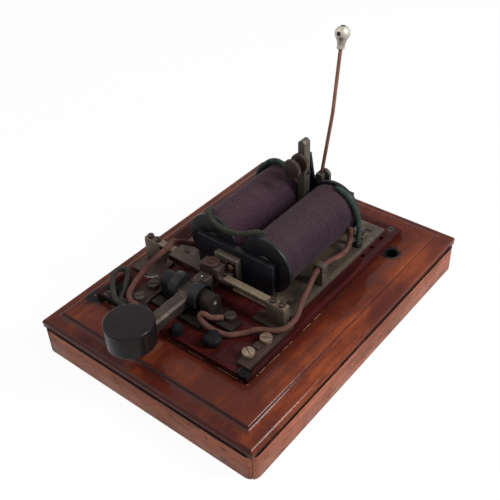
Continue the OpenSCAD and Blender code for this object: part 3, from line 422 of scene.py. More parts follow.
@dataclass(frozen=True)
class Timber:
    """Varnished wood with grain, rubbed edges, dark end grain and painted shade along a joint."""

    name: str
    light: Colour
    dark: Colour
    pore: Colour
    rubbed: Colour
    slot: str = ""
    grain: Grain = Grain.ALONG_Y
    scale: float = 7.0
    roughness: float = 0.35
    coat: float = 0.15
    wear: float = 0.8
    specular: float = 0.12
    end_grain: float = 0.0
    pores: float = 0.35
    mottle: float = 0.7
    relief: float = 0.1
    seam: float = PLINTH_TOP
    seam_reach: float = 0.0007
    wear_below: float = 1.0
    # dark patches: stains, and patches of painted shade
    stains: tuple[Point, ...] = ()
    stain_and_shade_colour: Colour = (0.006, 0.005, 0.005)
    foot: Oblong | None = None
    foot_shade: float = 0.036
    foot_line: float = 0.0003
    foot_back: float = -0.02
    rim: Oblong | None = None
    step_in: float = 0.0139
    step_dirt_and_shade: float = 0.0011
    flat_shade: float = 0.05
    coat_roughness: float = 0.07

    RELIEF_HEIGHT = 0.0003
    BLUR = 0.001
    BLOTCH_STRETCH = (0.6, 1.0, 1.0)
    BLOTCH = Speckle(26.0, 6.0, 0.7)
    BLOTCHED = Ramp(0.42, 0.66)
    END_FACING = Ramp(0.08, 0.6)
    HIGH_WEAR = 0.2
    WEAR_SCALE = 70.0
    SMEAR = Speckle(30.0, 5.0, 0.6)
    SMEARED = Ramp(0.3, 0.75)
    DULL, BRIGHT = 1.3, 0.75
    CLOUD = Speckle(34.0, 5.0, 0.65)
    CLOUDED = Ramp(0.36, 0.58, 0.35, 1.0)
    NEAR_SHADE = 0.7
    STEP_DIRT_AND_SHADE = 0.55
    FOOT_EDGE = Speckle(30.0)
    FOOT_RAGGED = 1 / 3
    FOOT_DARK = 0.9
    WAX = Speckle(210.0)
    WAX_SOFT = 1.6
    WAX_BROKEN = Ramp(0.47, 0.56)
    WAX_FADE = 0.03
    WAX_BEHIND = 0.1
    PATCH_EDGE = Speckle(220.0, 3.0)
    PATCH_CORE = 0.55

    def build(self) -> Material:
        """Makes the material."""
        skin = Surface(self.name)
        g, place = skin.graph, skin.place
        fibres = g.stretch(place, (1.0, 1.0, 1.0), (0.0, 0.0, -self.grain.value))
        wood = g.group(
            EFFECTS.grain, Vector=fibres, Scale=self.scale, Light=self.light, Dark=self.dark, Pore=self.pore,
            Pores=self.pores,
        )
        blotch = g.noise(g.stretch(fibres, self.BLOTCH_STRETCH), self.BLOTCH)
        colour = g.mix(g.step(blotch, self.BLOTCHED.between(0.0, self.mottle)), wood["Color"], self.dark)
        if self.end_grain:
            across = g.math("ABSOLUTE", g.split(skin.coords["Normal"], 1))
            colour = g.mix(g.step(across, self.END_FACING.between(0.0, self.end_grain)), colour, self.pore)
        if self.foot:
            colour = self._footed(g, place, colour)
        if self.rim:
            colour = self._moulded(g, place, colour)
        low = Ramp(self.wear_below, self.wear_below + self.BLUR, 1.0, self.HIGH_WEAR)
        share = g.step(g.split(place, 2), low)
        colour = skin.rubbed(colour, self.rubbed, self.wear, self.WEAR_SCALE, share)
        # painted shade along the joint at the seam's level
        masks = [g.group(EFFECTS.joint_shade, Vector=place, Seam=self.seam, Reach=self.seam_reach)["Mask"]]
        # dark patches; those in the wire hole and at the plinth's corner are painted shade
        masks += [self._dark_patch(g, place, *stain) for stain in self.stains]
        for mask in masks:
            colour = g.mix(mask, colour, self.stain_and_shade_colour)
        smeared = self.SMEARED.between(self.roughness * self.BRIGHT, self.roughness * self.DULL)
        skin.dress({
            "Base Color": colour, "Roughness": g.step(g.noise(place, self.SMEAR), smeared),
            "Specular IOR Level": self.specular, "Coat Weight": self.coat,
            "Coat Roughness": self.coat_roughness,
        })
        skin.raised(wood["Height"], self.relief, self.RELIEF_HEIGHT)
        return skin.material

    @staticmethod
    def _outside(g: Graph, place: Any, oblong: Oblong) -> list[Socket]:
        """Measures how far a place lies outside an upright oblong.

        Args:
            g: the graph.
            place: the place's coordinates.
            oblong: the oblong's centre and half sizes, in metres.

        Returns:
            The distances past its sides along X and along Y.
        """
        past = []
        for axis in (0, 1):
            off = g.math("ABSOLUTE", g.math("SUBTRACT", g.split(place, axis), oblong[axis]))
            past.append(g.math("SUBTRACT", off, oblong[axis + 2]))
        return past

    def _moulded(self, g: Graph, place: Any, colour: Any) -> Socket:
        """Darkens the mouldings across the fibres and the flat beside them, and darkens the step's corner
        with dirt and painted shade.

        Args:
            g: the graph.
            place: the place's coordinates.
            colour: the colour so far.

        Returns:
            The new colour.
        """
        past_x, past_y = self._outside(g, place, self.rim)
        across = g.step(g.math("SUBTRACT", past_y, past_x), Ramp(0.0, self.BLUR))
        on_moulding = g.step(past_y, Ramp(-self.step_in - self.BLUR, -self.step_in))
        near = g.step(past_y, Ramp(-self.step_in - self.flat_shade, -self.step_in, 0.0, self.NEAR_SHADE))
        cloud = g.step(g.noise(place, self.CLOUD), self.CLOUDED)
        shade = g.math("MAXIMUM", g.product(across, on_moulding, cloud), g.product(near, cloud))
        colour = g.mix(shade, colour, self.dark)
        # dirt and painted shade in the step's concave corner
        inset = g.math("ADD", g.math("MAXIMUM", past_x, past_y), self.step_in)
        line = g.step(g.math("ABSOLUTE", inset), Ramp(0.0, self.step_dirt_and_shade, self.STEP_DIRT_AND_SHADE, 0.0))
        return g.mix(line, colour, self.pore)

    def _footed(self, g: Graph, place: Any, colour: Any) -> Socket:
        """Paints shade on the wood round a board that stands on it, and leaves a broken line of wax at its
        foot.

        Args:
            g: the graph.
            place: the place's coordinates.
            colour: the colour so far.

        Returns:
            The new colour.
        """
        # painted shade round the standing board's foot, ragged at its edge
        away = g.math("MAXIMUM", *self._outside(g, place, self.foot))
        edge = g.product(g.noise(place, self.FOOT_EDGE), self.foot_shade * self.FOOT_RAGGED)
        shade = g.step(g.math("ADD", away, edge), Ramp(0.0, self.foot_shade, self.FOOT_DARK, 0.0))
        colour = g.mix(shade, colour, self.dark)
        line = g.step(away, Ramp(self.foot_line, self.foot_line * self.WAX_SOFT, 1.0, 0.0))
        broken = g.step(g.noise(place, self.WAX), self.WAX_BROKEN)
        fade = Ramp(self.foot_back, self.foot_back + self.WAX_FADE, 1.0, self.WAX_BEHIND)
        return g.mix(g.product(line, broken, g.step(g.split(place, 1), fade)), colour, self.rubbed)

    def _dark_patch(self, g: Graph, place: Any, x: float, y: float, radius: float) -> Socket:
        """The mask of one ragged dark patch round an upright line, used for stains and for painted shade.

        Args:
            g: the graph.
            place: the place's coordinates.
            x: the line's place, in metres.
            y: the line's place, in metres.
            radius: how far the patch reaches, in metres.

        Returns:
            The mask.
        """
        flat = g.stretch(place, (1.0, 1.0, 0.0))
        away = g.add("VectorMath", {0: flat, 1: (x, y, 0.0)}, operation="DISTANCE").outputs["Value"]
        ragged = g.product(g.math("SUBTRACT", g.noise(place, self.PATCH_EDGE), 0.5), radius)
        return g.step(g.math("ADD", away, ragged), Ramp(radius * self.PATCH_CORE, radius, 1.0, 0.0))


@dataclass(frozen=True)
class Metal:
    """Tarnished metal with rubbed edges and some dust."""

    name: str
    base: Colour
    tarnish: Colour
    stain: Colour
    rubbed: Colour
    slot: str = ""
    metallic: float = 0.5
    roughness: float = 0.42
    scale: float = 70.0
    wear: float = 0.6
    dust: float = 0.1
    dust_colour: Colour = (0.10, 0.08, 0.065)
    specular: float = 0.25

    WEAR_SCALE = 260.0
    DUST_SCALE = 90.0
    CLOUD_ROUGH = 0.35
    CLOUD_LOSS = 0.15
    DUST_ROUGH = 0.4
    RELIEF = 0.12

    def build(self) -> Material:
        """Makes the material."""
        skin = Surface(self.name)
        g = skin.graph
        patina = g.group(
            EFFECTS.patina, Vector=skin.place, Scale=self.scale, Base=self.base, Tarnish=self.tarnish,
            Stain=self.stain,
        )
        colour = skin.rubbed(patina["Color"], self.rubbed, self.wear, self.WEAR_SCALE)
        colour, dust = skin.dusted(colour, self.dust_colour, self.dust, self.DUST_SCALE)
        rough = g.scaled(patina["Rough"], self.CLOUD_ROUGH, self.roughness - self.CLOUD_LOSS)
        skin.dress({
            "Base Color": colour, "Roughness": g.math("ADD", rough, g.product(dust, self.DUST_ROUGH), True),
            "Metallic": g.product(g.math("SUBTRACT", 1.0, dust), self.metallic),
            "Specular IOR Level": self.specular,
        })
        skin.raised(patina["Height"], self.RELIEF)
        return skin.material


@dataclass(frozen=True)
class BlackSurface:
    """A black moulding or black japan, with a greyed rim and a little dust."""

    name: str
    colour: Colour
    faded: Colour
    rim: Colour
    slot: str = ""
    roughness: float = 0.38
    wear: float = 0.3
    dust: float = 0.06
    dust_colour: Colour = (0.07, 0.06, 0.055)
    specular: float = 0.2
    scuffed: float = 0.25

    CLOUD = Speckle(60.0, 5.0, 0.6)
    CLOUDED = Ramp(0.4, 0.72)
    PATCHES = 120.0
    SCUFF = Speckle(420.0, 4.0, 0.7)
    SCUFFS = Ramp(0.25, 0.8)
    SCUFF_RELIEF = 0.25

    def build(self) -> Material:
        """Makes the material."""
        skin = Surface(self.name)
        g = skin.graph
        cloud = g.step(g.noise(skin.place, self.CLOUD), self.CLOUDED)
        colour = g.mix(cloud, self.colour, self.faded)
        colour = skin.rubbed(colour, self.rim, self.wear, self.PATCHES)
        colour, _ = skin.dusted(colour, self.dust_colour, self.dust, self.PATCHES)
        scuff = g.noise(skin.place, self.SCUFF)
        smooth, rough = self.roughness * (1.0 - self.scuffed), self.roughness * (1.0 + self.scuffed)
        skin.dress({
            "Base Color": colour, "Roughness": g.step(scuff, self.SCUFFS.between(smooth, rough)),
            "Specular IOR Level": self.specular,
        })
        skin.raised(scuff, self.scuffed * self.SCUFF_RELIEF)
        return skin.material


@dataclass(frozen=True)
class WoundSilk:
    """Silk-covered wire of a coil, faded and dusty where it looks up."""

    name: str
    colour: Colour
    deep: Colour
    pale: Colour
    dust_colour: Colour
    pitch: float
    slot: str = ""
    dust: float = 0.7

    LAID = Speckle(layers=2.0)
    ACROSS = 9.0
    ALONG = 0.5
    TURNED = Ramp(0.3, 0.7)
    BLOTCH = Speckle(38.0, 5.0, 0.62)
    BLOTCHED = Ramp(0.48, 0.74, 0.0, 0.6)
    SPECK = Speckle(750.0, 3.0, 0.7)
    PALE_SPECKS = Ramp(0.48, 0.7, 0.0, 0.25)
    DARK_SPECKS = Ramp(0.3, 0.48, 0.35, 0.0)
    DUST_SCALE = 1100.0
    FIBRES = (900.0, 2600.0, 900.0)
    RELIEF = 0.2
    SHEEN = {
        "Roughness": 0.8, "Specular IOR Level": 0.12, "Sheen Weight": 0.06, "Sheen Roughness": 0.4,
    }

    def build(self) -> Material:
        """Makes the material."""
        skin = Surface(self.name)
        g, place = skin.graph, skin.place
        turn = g.noise(g.stretch(place, (self.ACROSS, self.ALONG / self.pitch, self.ACROSS)), self.LAID)
        colour = g.mix(g.step(turn, self.TURNED), self.deep, self.colour)
        colour = g.mix(g.step(g.noise(place, self.BLOTCH), self.BLOTCHED), colour, self.pale)
        speck = g.noise(place, self.SPECK)
        colour = g.mix(g.step(speck, self.PALE_SPECKS), colour, self.dust_colour)
        colour = g.mix(g.step(speck, self.DARK_SPECKS), colour, self.deep)
        colour, _ = skin.dusted(colour, self.dust_colour, self.dust, self.DUST_SCALE)
        skin.dress({"Base Color": colour, **self.SHEEN})
        skin.raised(g.noise(g.stretch(place, self.FIBRES), self.LAID), self.RELIEF)
        return skin.material


@dataclass(frozen=True)
class CordCover:
    """The thread or cloth cover of a lead."""

    name: str
    colour: Colour
    groove: Colour
    faded: Colour
    threads: float
    twist: float
    slot: str = ""
    dust: float = 0.15
    dust_colour: Colour = (0.13, 0.09, 0.08)

    RIDGED = Ramp(0.1, 0.75)
    FADE = Speckle(170.0, 4.0, 0.6)
    FADED = Ramp(0.45, 0.72, 0.0, 0.7)
    FLECKED = 0.3
    DUST_SCALE = 140.0
    RELIEF, RELIEF_HEIGHT = 0.35, 0.0003
    CLOTH = {"Roughness": 0.75, "Specular IOR Level": 0.15}

    def build(self) -> Material:
        """Makes the material."""
        skin = Surface(self.name)
        g = skin.graph
        wrap = g.group(EFFECTS.wrap, UV=skin.coords["UV"], Threads=self.threads, Twist=self.twist)
        # darker in the grooves between the threads: painted shade
        colour = g.mix(g.step(wrap["Ridge"], self.RIDGED), self.groove, self.colour)
        colour = g.mix(g.step(g.noise(skin.place, self.FADE), self.FADED), colour, self.faded)
        colour = g.mix(g.product(wrap["Fleck"], self.FLECKED), colour, self.groove)
        colour, _ = skin.dusted(colour, self.dust_colour, self.dust, self.DUST_SCALE)
        skin.dress({"Base Color": colour, **self.CLOTH})
        skin.raised(wrap["Ridge"], self.RELIEF, self.RELIEF_HEIGHT)
        return skin.material


SILK_PITCH = 0.8
WRAP_PITCH = 1.7
WRAPS_PER_M = 1 / (WRAP_PITCH * MM)
# the plinth also gets painted shade along its joint with the board above
PLINTH = dict(
    light=(0.39, 0.130, 0.077), dark=(0.152, 0.048, 0.028), pore=(0.040, 0.014, 0.010),
    rubbed=(0.34, 0.14, 0.09), roughness=0.5, coat=0.02, wear=0.5, specular=0.08, slot="plinth_wood",
    # painted shade and worn black edges at the front-left corner
    pores=0.85, mottle=0.55, stains=(patch_at(WORN_SHADED_CORNER, 12.0),),
)
PALETTE = [
    Timber("plinth_wood", **PLINTH),
    Timber("plinth_wood_ends", grain=Grain.ALONG_X, **PLINTH),
    Timber(
        "bare_wood", (0.34, 0.23, 0.13), (0.22, 0.14, 0.08), (0.12, 0.07, 0.04), (0.4, 0.3, 0.2),
        roughness=0.7, coat=0.0,
    ),
    Timber(
        "board_mahogany", (0.265, 0.055, 0.017), (0.062, 0.012, 0.008), (0.020, 0.008, 0.007),
        (0.42, 0.28, 0.16), roughness=0.24, coat=0.17, coat_roughness=0.13, wear=0.12, specular=0.03,
        # painted shade along the board's joint with the plinth
        end_grain=0.8, mottle=0.8, relief=0.015, seam_reach=0.0009,
        # the wire hole's patch paints its wall black, with a dark halo round it: painted shade
        stains=(patch_at(WIRE_HOLE, 11.5), patch_at(DARK_CORNER, 13.0)), foot=footprint("raised_board"),
        rim=footprint(*RAILS),
    ),
    Timber(
        "raised_mahogany", (0.062, 0.009, 0.007), (0.024, 0.005, 0.005), (0.010, 0.004, 0.004),
        # painted shade along the raised board's foot
        (0.30, 0.14, 0.07), scale=8.0, roughness=0.24, coat=0.06, specular=0.03, wear=0.4, seam=RAISED_FOOT,
        seam_reach=0.0003, relief=0.03, wear_below=RAISED_FOOT + FOOT_RUB,
        stains=(patch_at(SEALED_SCREW, 8.5), patch_at(GREY_LEAD_FOOT, 21.0)),
    ),
    Metal(
        "plate_brass", (0.105, 0.080, 0.056), (0.060, 0.046, 0.033), (0.028, 0.022, 0.018),
        (0.34, 0.27, 0.16),
    ),
    Metal(
        "bridge_brass", (0.105, 0.090, 0.068), (0.062, 0.053, 0.040), (0.027, 0.024, 0.018),
        (0.15, 0.13, 0.097), slot="plate_brass", wear=0.3,
    ),
    Metal(
        "post_brass", (0.095, 0.083, 0.070), (0.058, 0.051, 0.043), (0.028, 0.024, 0.021),
        (0.15, 0.135, 0.11), slot="plate_brass", wear=0.5,
    ),
    Metal(
        "contact_brass", (0.051, 0.030, 0.0225), (0.029, 0.0175, 0.014), (0.014, 0.009, 0.008),
        (0.12, 0.085, 0.06), wear=0.35, specular=0.12,
    ),
    Metal(
        "contact_post_brass", (0.110, 0.083, 0.063), (0.064, 0.049, 0.037), (0.029, 0.022, 0.018),
        (0.17, 0.13, 0.095), slot="contact_brass", wear=0.35,
    ),
    Metal(
        "pedestal_bronze", (0.025, 0.018, 0.015), (0.015, 0.011, 0.010), (0.008, 0.007, 0.006),
        (0.05, 0.038, 0.032), slot="contact_brass", wear=0.3, dust=0.04, specular=0.12,
    ),
    Metal(
        "bar_brass", (0.22, 0.165, 0.115), (0.14, 0.105, 0.072), (0.02, 0.016, 0.013), (0.34, 0.27, 0.18),
        scale=160.0,
    ),
    Metal(
        "lever_bronze", (0.055, 0.042, 0.033), (0.031, 0.024, 0.020), (0.015, 0.012, 0.011),
        (0.27, 0.22, 0.155), wear=0.5,
    ),
    Metal(
        "tail_bronze", (0.070, 0.050, 0.041), (0.043, 0.031, 0.025), (0.018, 0.014, 0.012),
        (0.13, 0.10, 0.08), slot="lever_bronze", wear=0.4,
    ),
    Metal(
        "screw_brass", (0.056, 0.042, 0.032), (0.034, 0.026, 0.020), (0.014, 0.011, 0.009),
        (0.016, 0.013, 0.011),
    ),
    Metal(
        "screw_pale", (0.27, 0.195, 0.14), (0.17, 0.12, 0.085), (0.055, 0.04, 0.03), (0.32, 0.24, 0.17),
        slot="screw_brass", metallic=0.6, roughness=0.36,
    ),
    Metal(
        "screw_red", (0.075, 0.036, 0.029), (0.045, 0.022, 0.019), (0.018, 0.011, 0.010),
        (0.13, 0.08, 0.062), slot="screw_brass",
    ),
    Metal(
        "screw_dark", (0.055, 0.034, 0.029), (0.033, 0.021, 0.019), (0.016, 0.012, 0.011),
        (0.15, 0.10, 0.085), slot="screw_steel", roughness=0.32, specular=0.4,
    ),
    Metal("screw_steel", (0.30, 0.285, 0.265), (0.17, 0.16, 0.15), (0.06, 0.055, 0.05), (0.5, 0.49, 0.46)),
    Metal("soft_iron", (0.13, 0.125, 0.12), (0.07, 0.065, 0.06), (0.05, 0.03, 0.02), (0.3, 0.3, 0.3)),
    BlackSurface(
        "black_iron", (0.0045, 0.0040, 0.007), (0.008, 0.008, 0.012), (0.026, 0.026, 0.030), dust=0.12,
    ),
    BlackSurface(
        "black_cheek", (0.0048, 0.0042, 0.0060), (0.008, 0.0075, 0.010), (0.020, 0.021, 0.021),
        roughness=0.42,
    ),
    WoundSilk(
        "winding_silk", (0.033, 0.0155, 0.025), (0.020, 0.009, 0.016), (0.042, 0.024, 0.031),
        (0.090, 0.056, 0.061), pitch=SILK_PITCH * MM,
    ),
    WoundSilk(
        "winding_silk_left", (0.029, 0.0108, 0.021), (0.017, 0.0064, 0.013), (0.036, 0.0165, 0.026),
        (0.110, 0.061, 0.074), pitch=SILK_PITCH * MM, slot="winding_silk", dust=0.72,
    ),
    Metal(
        "winding_copper", (0.09, 0.05, 0.05), (0.05, 0.03, 0.03), (0.03, 0.02, 0.02), (0.2, 0.1, 0.08),
        metallic=0.0,
    ),
    BlackSurface(
        "collar_black", (0.008, 0.0075, 0.009), (0.014, 0.013, 0.015), (0.024, 0.023, 0.026),
        roughness=0.36, specular=0.15,
    ),
    BlackSurface(
        "knob_ebonite", (0.010, 0.0068, 0.007), (0.014, 0.0095, 0.010), (0.024, 0.018, 0.018),
        roughness=0.26, dust=0.0, specular=0.12, scuffed=0.05,
    ),
    BlackSurface(
        "bush_ebonite", (0.005, 0.005, 0.006), (0.010, 0.010, 0.011), (0.02, 0.02, 0.02), roughness=0.5,
        specular=0.1,
    ),
    Metal(
        "copper", (0.225, 0.098, 0.062), (0.14, 0.062, 0.043), (0.06, 0.032, 0.026), (0.42, 0.22, 0.14),
        roughness=0.4, scale=120.0,
    ),
    Metal(
        "stud_copper", (0.085, 0.035, 0.028), (0.05, 0.022, 0.018), (0.02, 0.012, 0.01), (0.12, 0.05, 0.04),
        slot="copper", roughness=0.3,
    ),
    Metal(
        "nickel", (0.54, 0.485, 0.415), (0.36, 0.325, 0.275), (0.10, 0.09, 0.08), (0.75, 0.72, 0.67),
        metallic=0.9, roughness=0.34,
    ),
    Metal(
        "pin_black", (0.030, 0.024, 0.021), (0.020, 0.016, 0.014), (0.012, 0.010, 0.009),
        (0.05, 0.04, 0.035), slot="nickel", dust=0.0,
    ),
    CordCover(
        "lead_brown", (0.120, 0.047, 0.037), (0.045, 0.018, 0.015), (0.150, 0.062, 0.049), threads=1500.0,
        twist=3.0,
    ),
    CordCover(
        "lead_green", (0.033, 0.062, 0.050), (0.004, 0.009, 0.008), (0.048, 0.080, 0.066),
        threads=WRAPS_PER_M, twist=0.0,
    ),
    CordCover(
        "lead_olive", (0.024, 0.027, 0.020), (0.010, 0.012, 0.009), (0.036, 0.038, 0.029), threads=1500.0,
        twist=2.0, slot="lead_green",
    ),
    CordCover(
        "lead_grey", (0.028, 0.025, 0.022), (0.009, 0.008, 0.008), (0.048, 0.042, 0.036), threads=1600.0,
        twist=2.0,
    ),
    BlackSurface(
        "tape", (0.004, 0.004, 0.005), (0.008, 0.008, 0.009), (0.012, 0.012, 0.012), slot="bush_ebonite",
        roughness=0.55, specular=0.06, dust=0.02,
    ),
]
FINISHES = {finish.name: finish.build() for finish in PALETTE}


class Workshop:
    """Turns meshes into finished pieces that ride on bodies."""

    CAD_DOUBLES = 2e-6
    DOUBLES = 1e-6
    CUT_DOUBLES = 1e-7
    FLAT = math.radians(0.4)
    SHARP = math.radians(32.0)
    LEVEL = 0.9

    @staticmethod
    def merged(node: str) -> Mesh:
        """Copies a CAD node's mesh with its doubles merged and its flat faces joined."""
        bm = bmesh.new()
        bm.from_mesh(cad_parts[node].data)
        bmesh.ops.remove_doubles(bm, verts=bm.verts, dist=Workshop.CAD_DOUBLES)
        bmesh.ops.dissolve_limit(bm, angle_limit=Workshop.FLAT, verts=bm.verts, edges=bm.edges)
        return bm

    @staticmethod
    def everything(bm: Mesh) -> list[Any]:
        """Lists a mesh's vertices, edges and faces."""
        return [*bm.verts, *bm.edges, *bm.faces]

    @staticmethod
    def only(geom: Sequence[Any], kind: type) -> list[Any]:
        """Picks the vertices, edges or faces out of what an operator gave back."""
        return [item for item in geom if isinstance(item, kind)]

    @staticmethod
    def closed(bm: Mesh) -> None:
        """Merges a new mesh's doubles and points its faces outwards."""
        bmesh.ops.remove_doubles(bm, verts=bm.verts, dist=Workshop.DOUBLES)
        bmesh.ops.recalc_face_normals(bm, faces=bm.faces)

    @staticmethod
    def spun(bm: Mesh, centre: Vector, axis: Point, steps: int, rise: float = 0.0) -> None:
        """Spins an open outline once round an axis.

        Args:
            bm: the mesh that holds only the outline.
            centre: a point on the axis, in metres.
            axis: the axis.
            steps: the faces round it.
            rise: how far the turn climbs along the axis, in metres. A turn that climbs isn't closed.
        """
        bmesh.ops.spin(
            bm, geom=[*bm.verts, *bm.edges], cent=centre, axis=axis, dvec=Vector(axis) * (rise / steps),
            angle=TURN, steps=steps, use_merge=not rise, use_normal_flip=False, use_duplicate=False,
        )

    @staticmethod
    def round_edges(bm: Mesh, width: float, segments: int = 2) -> None:
        """Rounds sharp edges and marks the roundings for wear.

        Args:
            bm: the mesh, in metres.
            width: the width of the rounding, in millimetres.
            segments: the faces across the rounding.
        """
        sharp = [e for e in bm.edges if e.is_manifold and e.calc_face_angle(0.0) > Workshop.SHARP]
        mark = bm.faces.layers.float.new("edge")
        made = bmesh.ops.bevel(
            bm, geom=sharp, offset=width * MM, offset_type="OFFSET", segments=segments, profile=0.5,
            affect="EDGES", clamp_overlap=True, material=-1,
        )
        for face in made["faces"]:
            face[mark] = 1.0

    @staticmethod
    def turned(degrees: float, axis: str) -> Matrix:
        """A turn round one axis."""
        return Matrix.Rotation(math.radians(degrees), 4, axis)

    @staticmethod
    def facing(way: Sequence[float], start: Sequence[float] = UP) -> Matrix:
        """The turn from one direction to another."""
        return Vector(start).rotation_difference(Vector(way)).to_matrix().to_4x4()

    @staticmethod
    def moved(bm: Mesh, place: Point, turn: Matrix) -> None:
        """Turns a whole mesh and places it, in millimetres."""
        bmesh.ops.transform(bm, matrix=Matrix.Translation(Vector(place) * MM) @ turn, verts=bm.verts)

    @staticmethod
    def shaped(made: dict[str, Any], bm: Mesh, size: Point, place: Point, turn: Matrix | None = None) -> None:
        """Scales, turns and places a new shape.

        Args:
            made: what the operator that made the shape gave back.
            bm: the mesh that it is in.
            size: its scale on each axis, in millimetres.
            place: its centre, in millimetres.
            turn: its turn before it is placed.
        """
        scale = Matrix.Diagonal((*(s * MM for s in size), 1.0))
        move = Matrix.Translation(Vector(place) * MM)
        bmesh.ops.transform(bm, matrix=move @ (turn or Matrix.Identity(4)) @ scale, verts=made["verts"])

    @staticmethod
    def finish(
        bm: Mesh, name: str, body: Body, material: str, replaced: Sequence[str] = (), smooth: float = 30.0,
    ) -> bpy.types.Object:
        """Makes an object of a mesh, dresses it and lets it ride.

        Args:
            bm: the mesh, in metres, in place.
            name: the piece's name.
            body: the body that it rides on.
            material: the finish.
            replaced: CAD nodes that it stands for.
            smooth: the angle in degrees past which an edge stays sharp.

        Returns:
            The object.
        """
        mesh = bpy.data.meshes.new(name)
        bm.to_mesh(mesh)
        bm.free()
        mesh.polygons.foreach_set("use_smooth", [True] * len(mesh.polygons))
        mesh.set_sharp_from_angle(angle=math.radians(smooth))
        mesh.materials.append(FINISHES[material])
        piece = Workshop.linked(name, mesh)
        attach(piece, body.value)
        if replaced:
            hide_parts(*replaced)
        log.info("%s: %d faces on %s", name, len(mesh.polygons), body.value)
        return piece

    @staticmethod
    def linked(name: str, data: Any) -> bpy.types.Object:
        """Makes an object of a mesh, a camera or a lamp and links it to the scene."""
        made = bpy.data.objects.new(name, data)
        bpy.context.scene.collection.objects.link(made)
        return made

    @staticmethod
    def repaint(node: str, material: str) -> None:
        """Gives a CAD node that stays in view its finish."""
        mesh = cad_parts[node].data
        mesh.materials.clear()
        mesh.materials.append(FINISHES[material])
        log.info("%s: kept, with %s", node, material)


@dataclass
class EdgedPieces:
    """Solid pieces that keep their CAD shape and get rounded, worn edges."""

    body: Body
    widths: dict[str, tuple[str, float]]

    def build(self) -> None:
        """Copies, rounds and dresses each piece."""
        for node, (material, width) in self.widths.items():
            bm = Workshop.merged(node)
            Workshop.round_edges(bm, width)
            Workshop.finish(bm, "dressed_" + node, self.body, material, [node])


@dataclass
class Yoke:
    """The plain iron bar across the cores' front ends, with the cores cut short inside it."""

    rounding: float = 0.5
    core_in: float = 1.0

    def build(self) -> None:
        """Makes the bar and trims the cores."""
        low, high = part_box("yoke")
        bm = bmesh.new()
        bar = bmesh.ops.create_cube(bm, size=1.0)
        Workshop.shaped(bar, bm, tuple((high - low) / MM), tuple((high + low) / 2 / MM))
        Workshop.round_edges(bm, self.rounding)
        Workshop.finish(bm, "plain_yoke", Body.BASE, "black_iron", ["yoke"])
        for node in ("left_core", "right_core"):
            bm = Workshop.merged(node)
            cut = bmesh.ops.bisect_plane(
                bm, geom=Workshop.everything(bm), dist=Workshop.CUT_DOUBLES,
                plane_co=(0.0, low.y + self.core_in * MM, 0.0), plane_no=(0, 1, 0), clear_inner=True,
            )
            bmesh.ops.edgeloop_fill(bm, edges=Workshop.only(cut["geom_cut"], Edge))
            bmesh.ops.recalc_face_normals(bm, faces=bm.faces)
            Workshop.finish(bm, "trimmed_" + node, Body.BASE, "soft_iron", [node])


@dataclass
class Coil:
    """One coil's outer layer: silk-covered wire, wound in one unbroken helix."""

    side: str
    axis_x: float
    material: str
    axis_z: float = 76.3
    front: float = -21.0
    rear: float = 75.0
    gap: float = 0.02
    radius: float = 23.5
    pitch: float = SILK_PITCH
    lap: float = 1.04
    relief: float = 0.2
    depth: float = 3.5
    steps: int = 52
    sides: int = 6

    def build(self) -> None:
        """Spins one turn's section along the coil and repeats the turn."""
        wire = self.pitch * self.lap
        turns = int((self.rear - self.front - wire) / self.pitch)
        centre = (self.axis_x, self.front + wire / 2 + self.gap, self.axis_z + self.radius - self.relief)
        bm = bmesh.new()
        ring = bmesh.ops.create_circle(bm, cap_ends=False, segments=self.sides, radius=1.0)
        Workshop.shaped(ring, bm, (wire / 2, wire / 2, 1.0), centre, Workshop.turned(90.0, "Y"))
        flatten = (1, 1, 2 * self.relief / wire)
        bmesh.ops.scale(bm, vec=flatten, space=Matrix.Translation(-Vector(centre) * MM), verts=bm.verts)
        inner = [v for v in bm.verts if v.co.z < (centre[2] - self.relief / 4) * MM]
        bmesh.ops.translate(bm, vec=(0, 0, -self.depth * MM), verts=inner)
        axis = Vector((self.axis_x, 0, self.axis_z)) * MM
        Workshop.spun(bm, axis, (0.0, 1.0, 0.0), self.steps, self.pitch * MM)
        one_turn = Workshop.everything(bm)
        for number in range(1, turns):
            copy = bmesh.ops.duplicate(bm, geom=one_turn)["geom"]
            along = (0, number * self.pitch * MM, 0)
            bmesh.ops.translate(bm, vec=along, verts=Workshop.only(copy, Vert))
        Workshop.closed(bm)
        node = self.side + "_winding"
        Workshop.finish(bm, "silk_" + node, Body.BASE, self.material, [node], smooth=80.0)


@dataclass
class MilledPiece:
    """A turned screw or nut with a milled rim round its axis, which runs front to back."""

    node: str
    body: Body
    rounding: float = 0.35
    groove: float = 0.3
    land: float = 0.16
    rim_tilt: float = 0.1

    def build(self) -> None:
        """Rounds the edges and cuts a groove in each facet of the widest rim."""
        low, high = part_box(self.node)
        centre = (low + high) / 2
        radius = (high.z - low.z) / 2
        bm = Workshop.merged(self.node)
        Workshop.round_edges(bm, self.rounding)
        rim = []
        for face in bm.faces:
            middle = face.calc_center_median() - centre
            outside = math.hypot(middle.x, middle.z) > radius - self.rounding * MM
            if outside and abs(face.normal.y) < self.rim_tilt:
                rim.append(face)
        bmesh.ops.inset_individual(bm, faces=rim, thickness=self.land * MM, depth=-self.groove * MM)
        Workshop.finish(bm, "milled_" + self.node, self.body, "screw_brass", [self.node])


@dataclass
class CheeseScrews:
    """The large slotted screws: the right-hand pair is cleaner than the rest."""

    node: str = "cheese_screws"
    parting_x: float = 45.0
    rounding: float = 0.45

    def build(self) -> None:
        """Parts the screws into two pieces."""
        for name, material, right in (("clean", "screw_pale", True), ("dull", "screw_brass", False)):
            bm = Workshop.merged(self.node)
            other = [v for v in bm.verts if (v.co.x > self.parting_x * MM) != right]
            bmesh.ops.delete(bm, geom=other, context="VERTS")
            Workshop.round_edges(bm, self.rounding)
            Workshop.finish(bm, f"{name}_{self.node}", Body.BASE, material, [self.node])


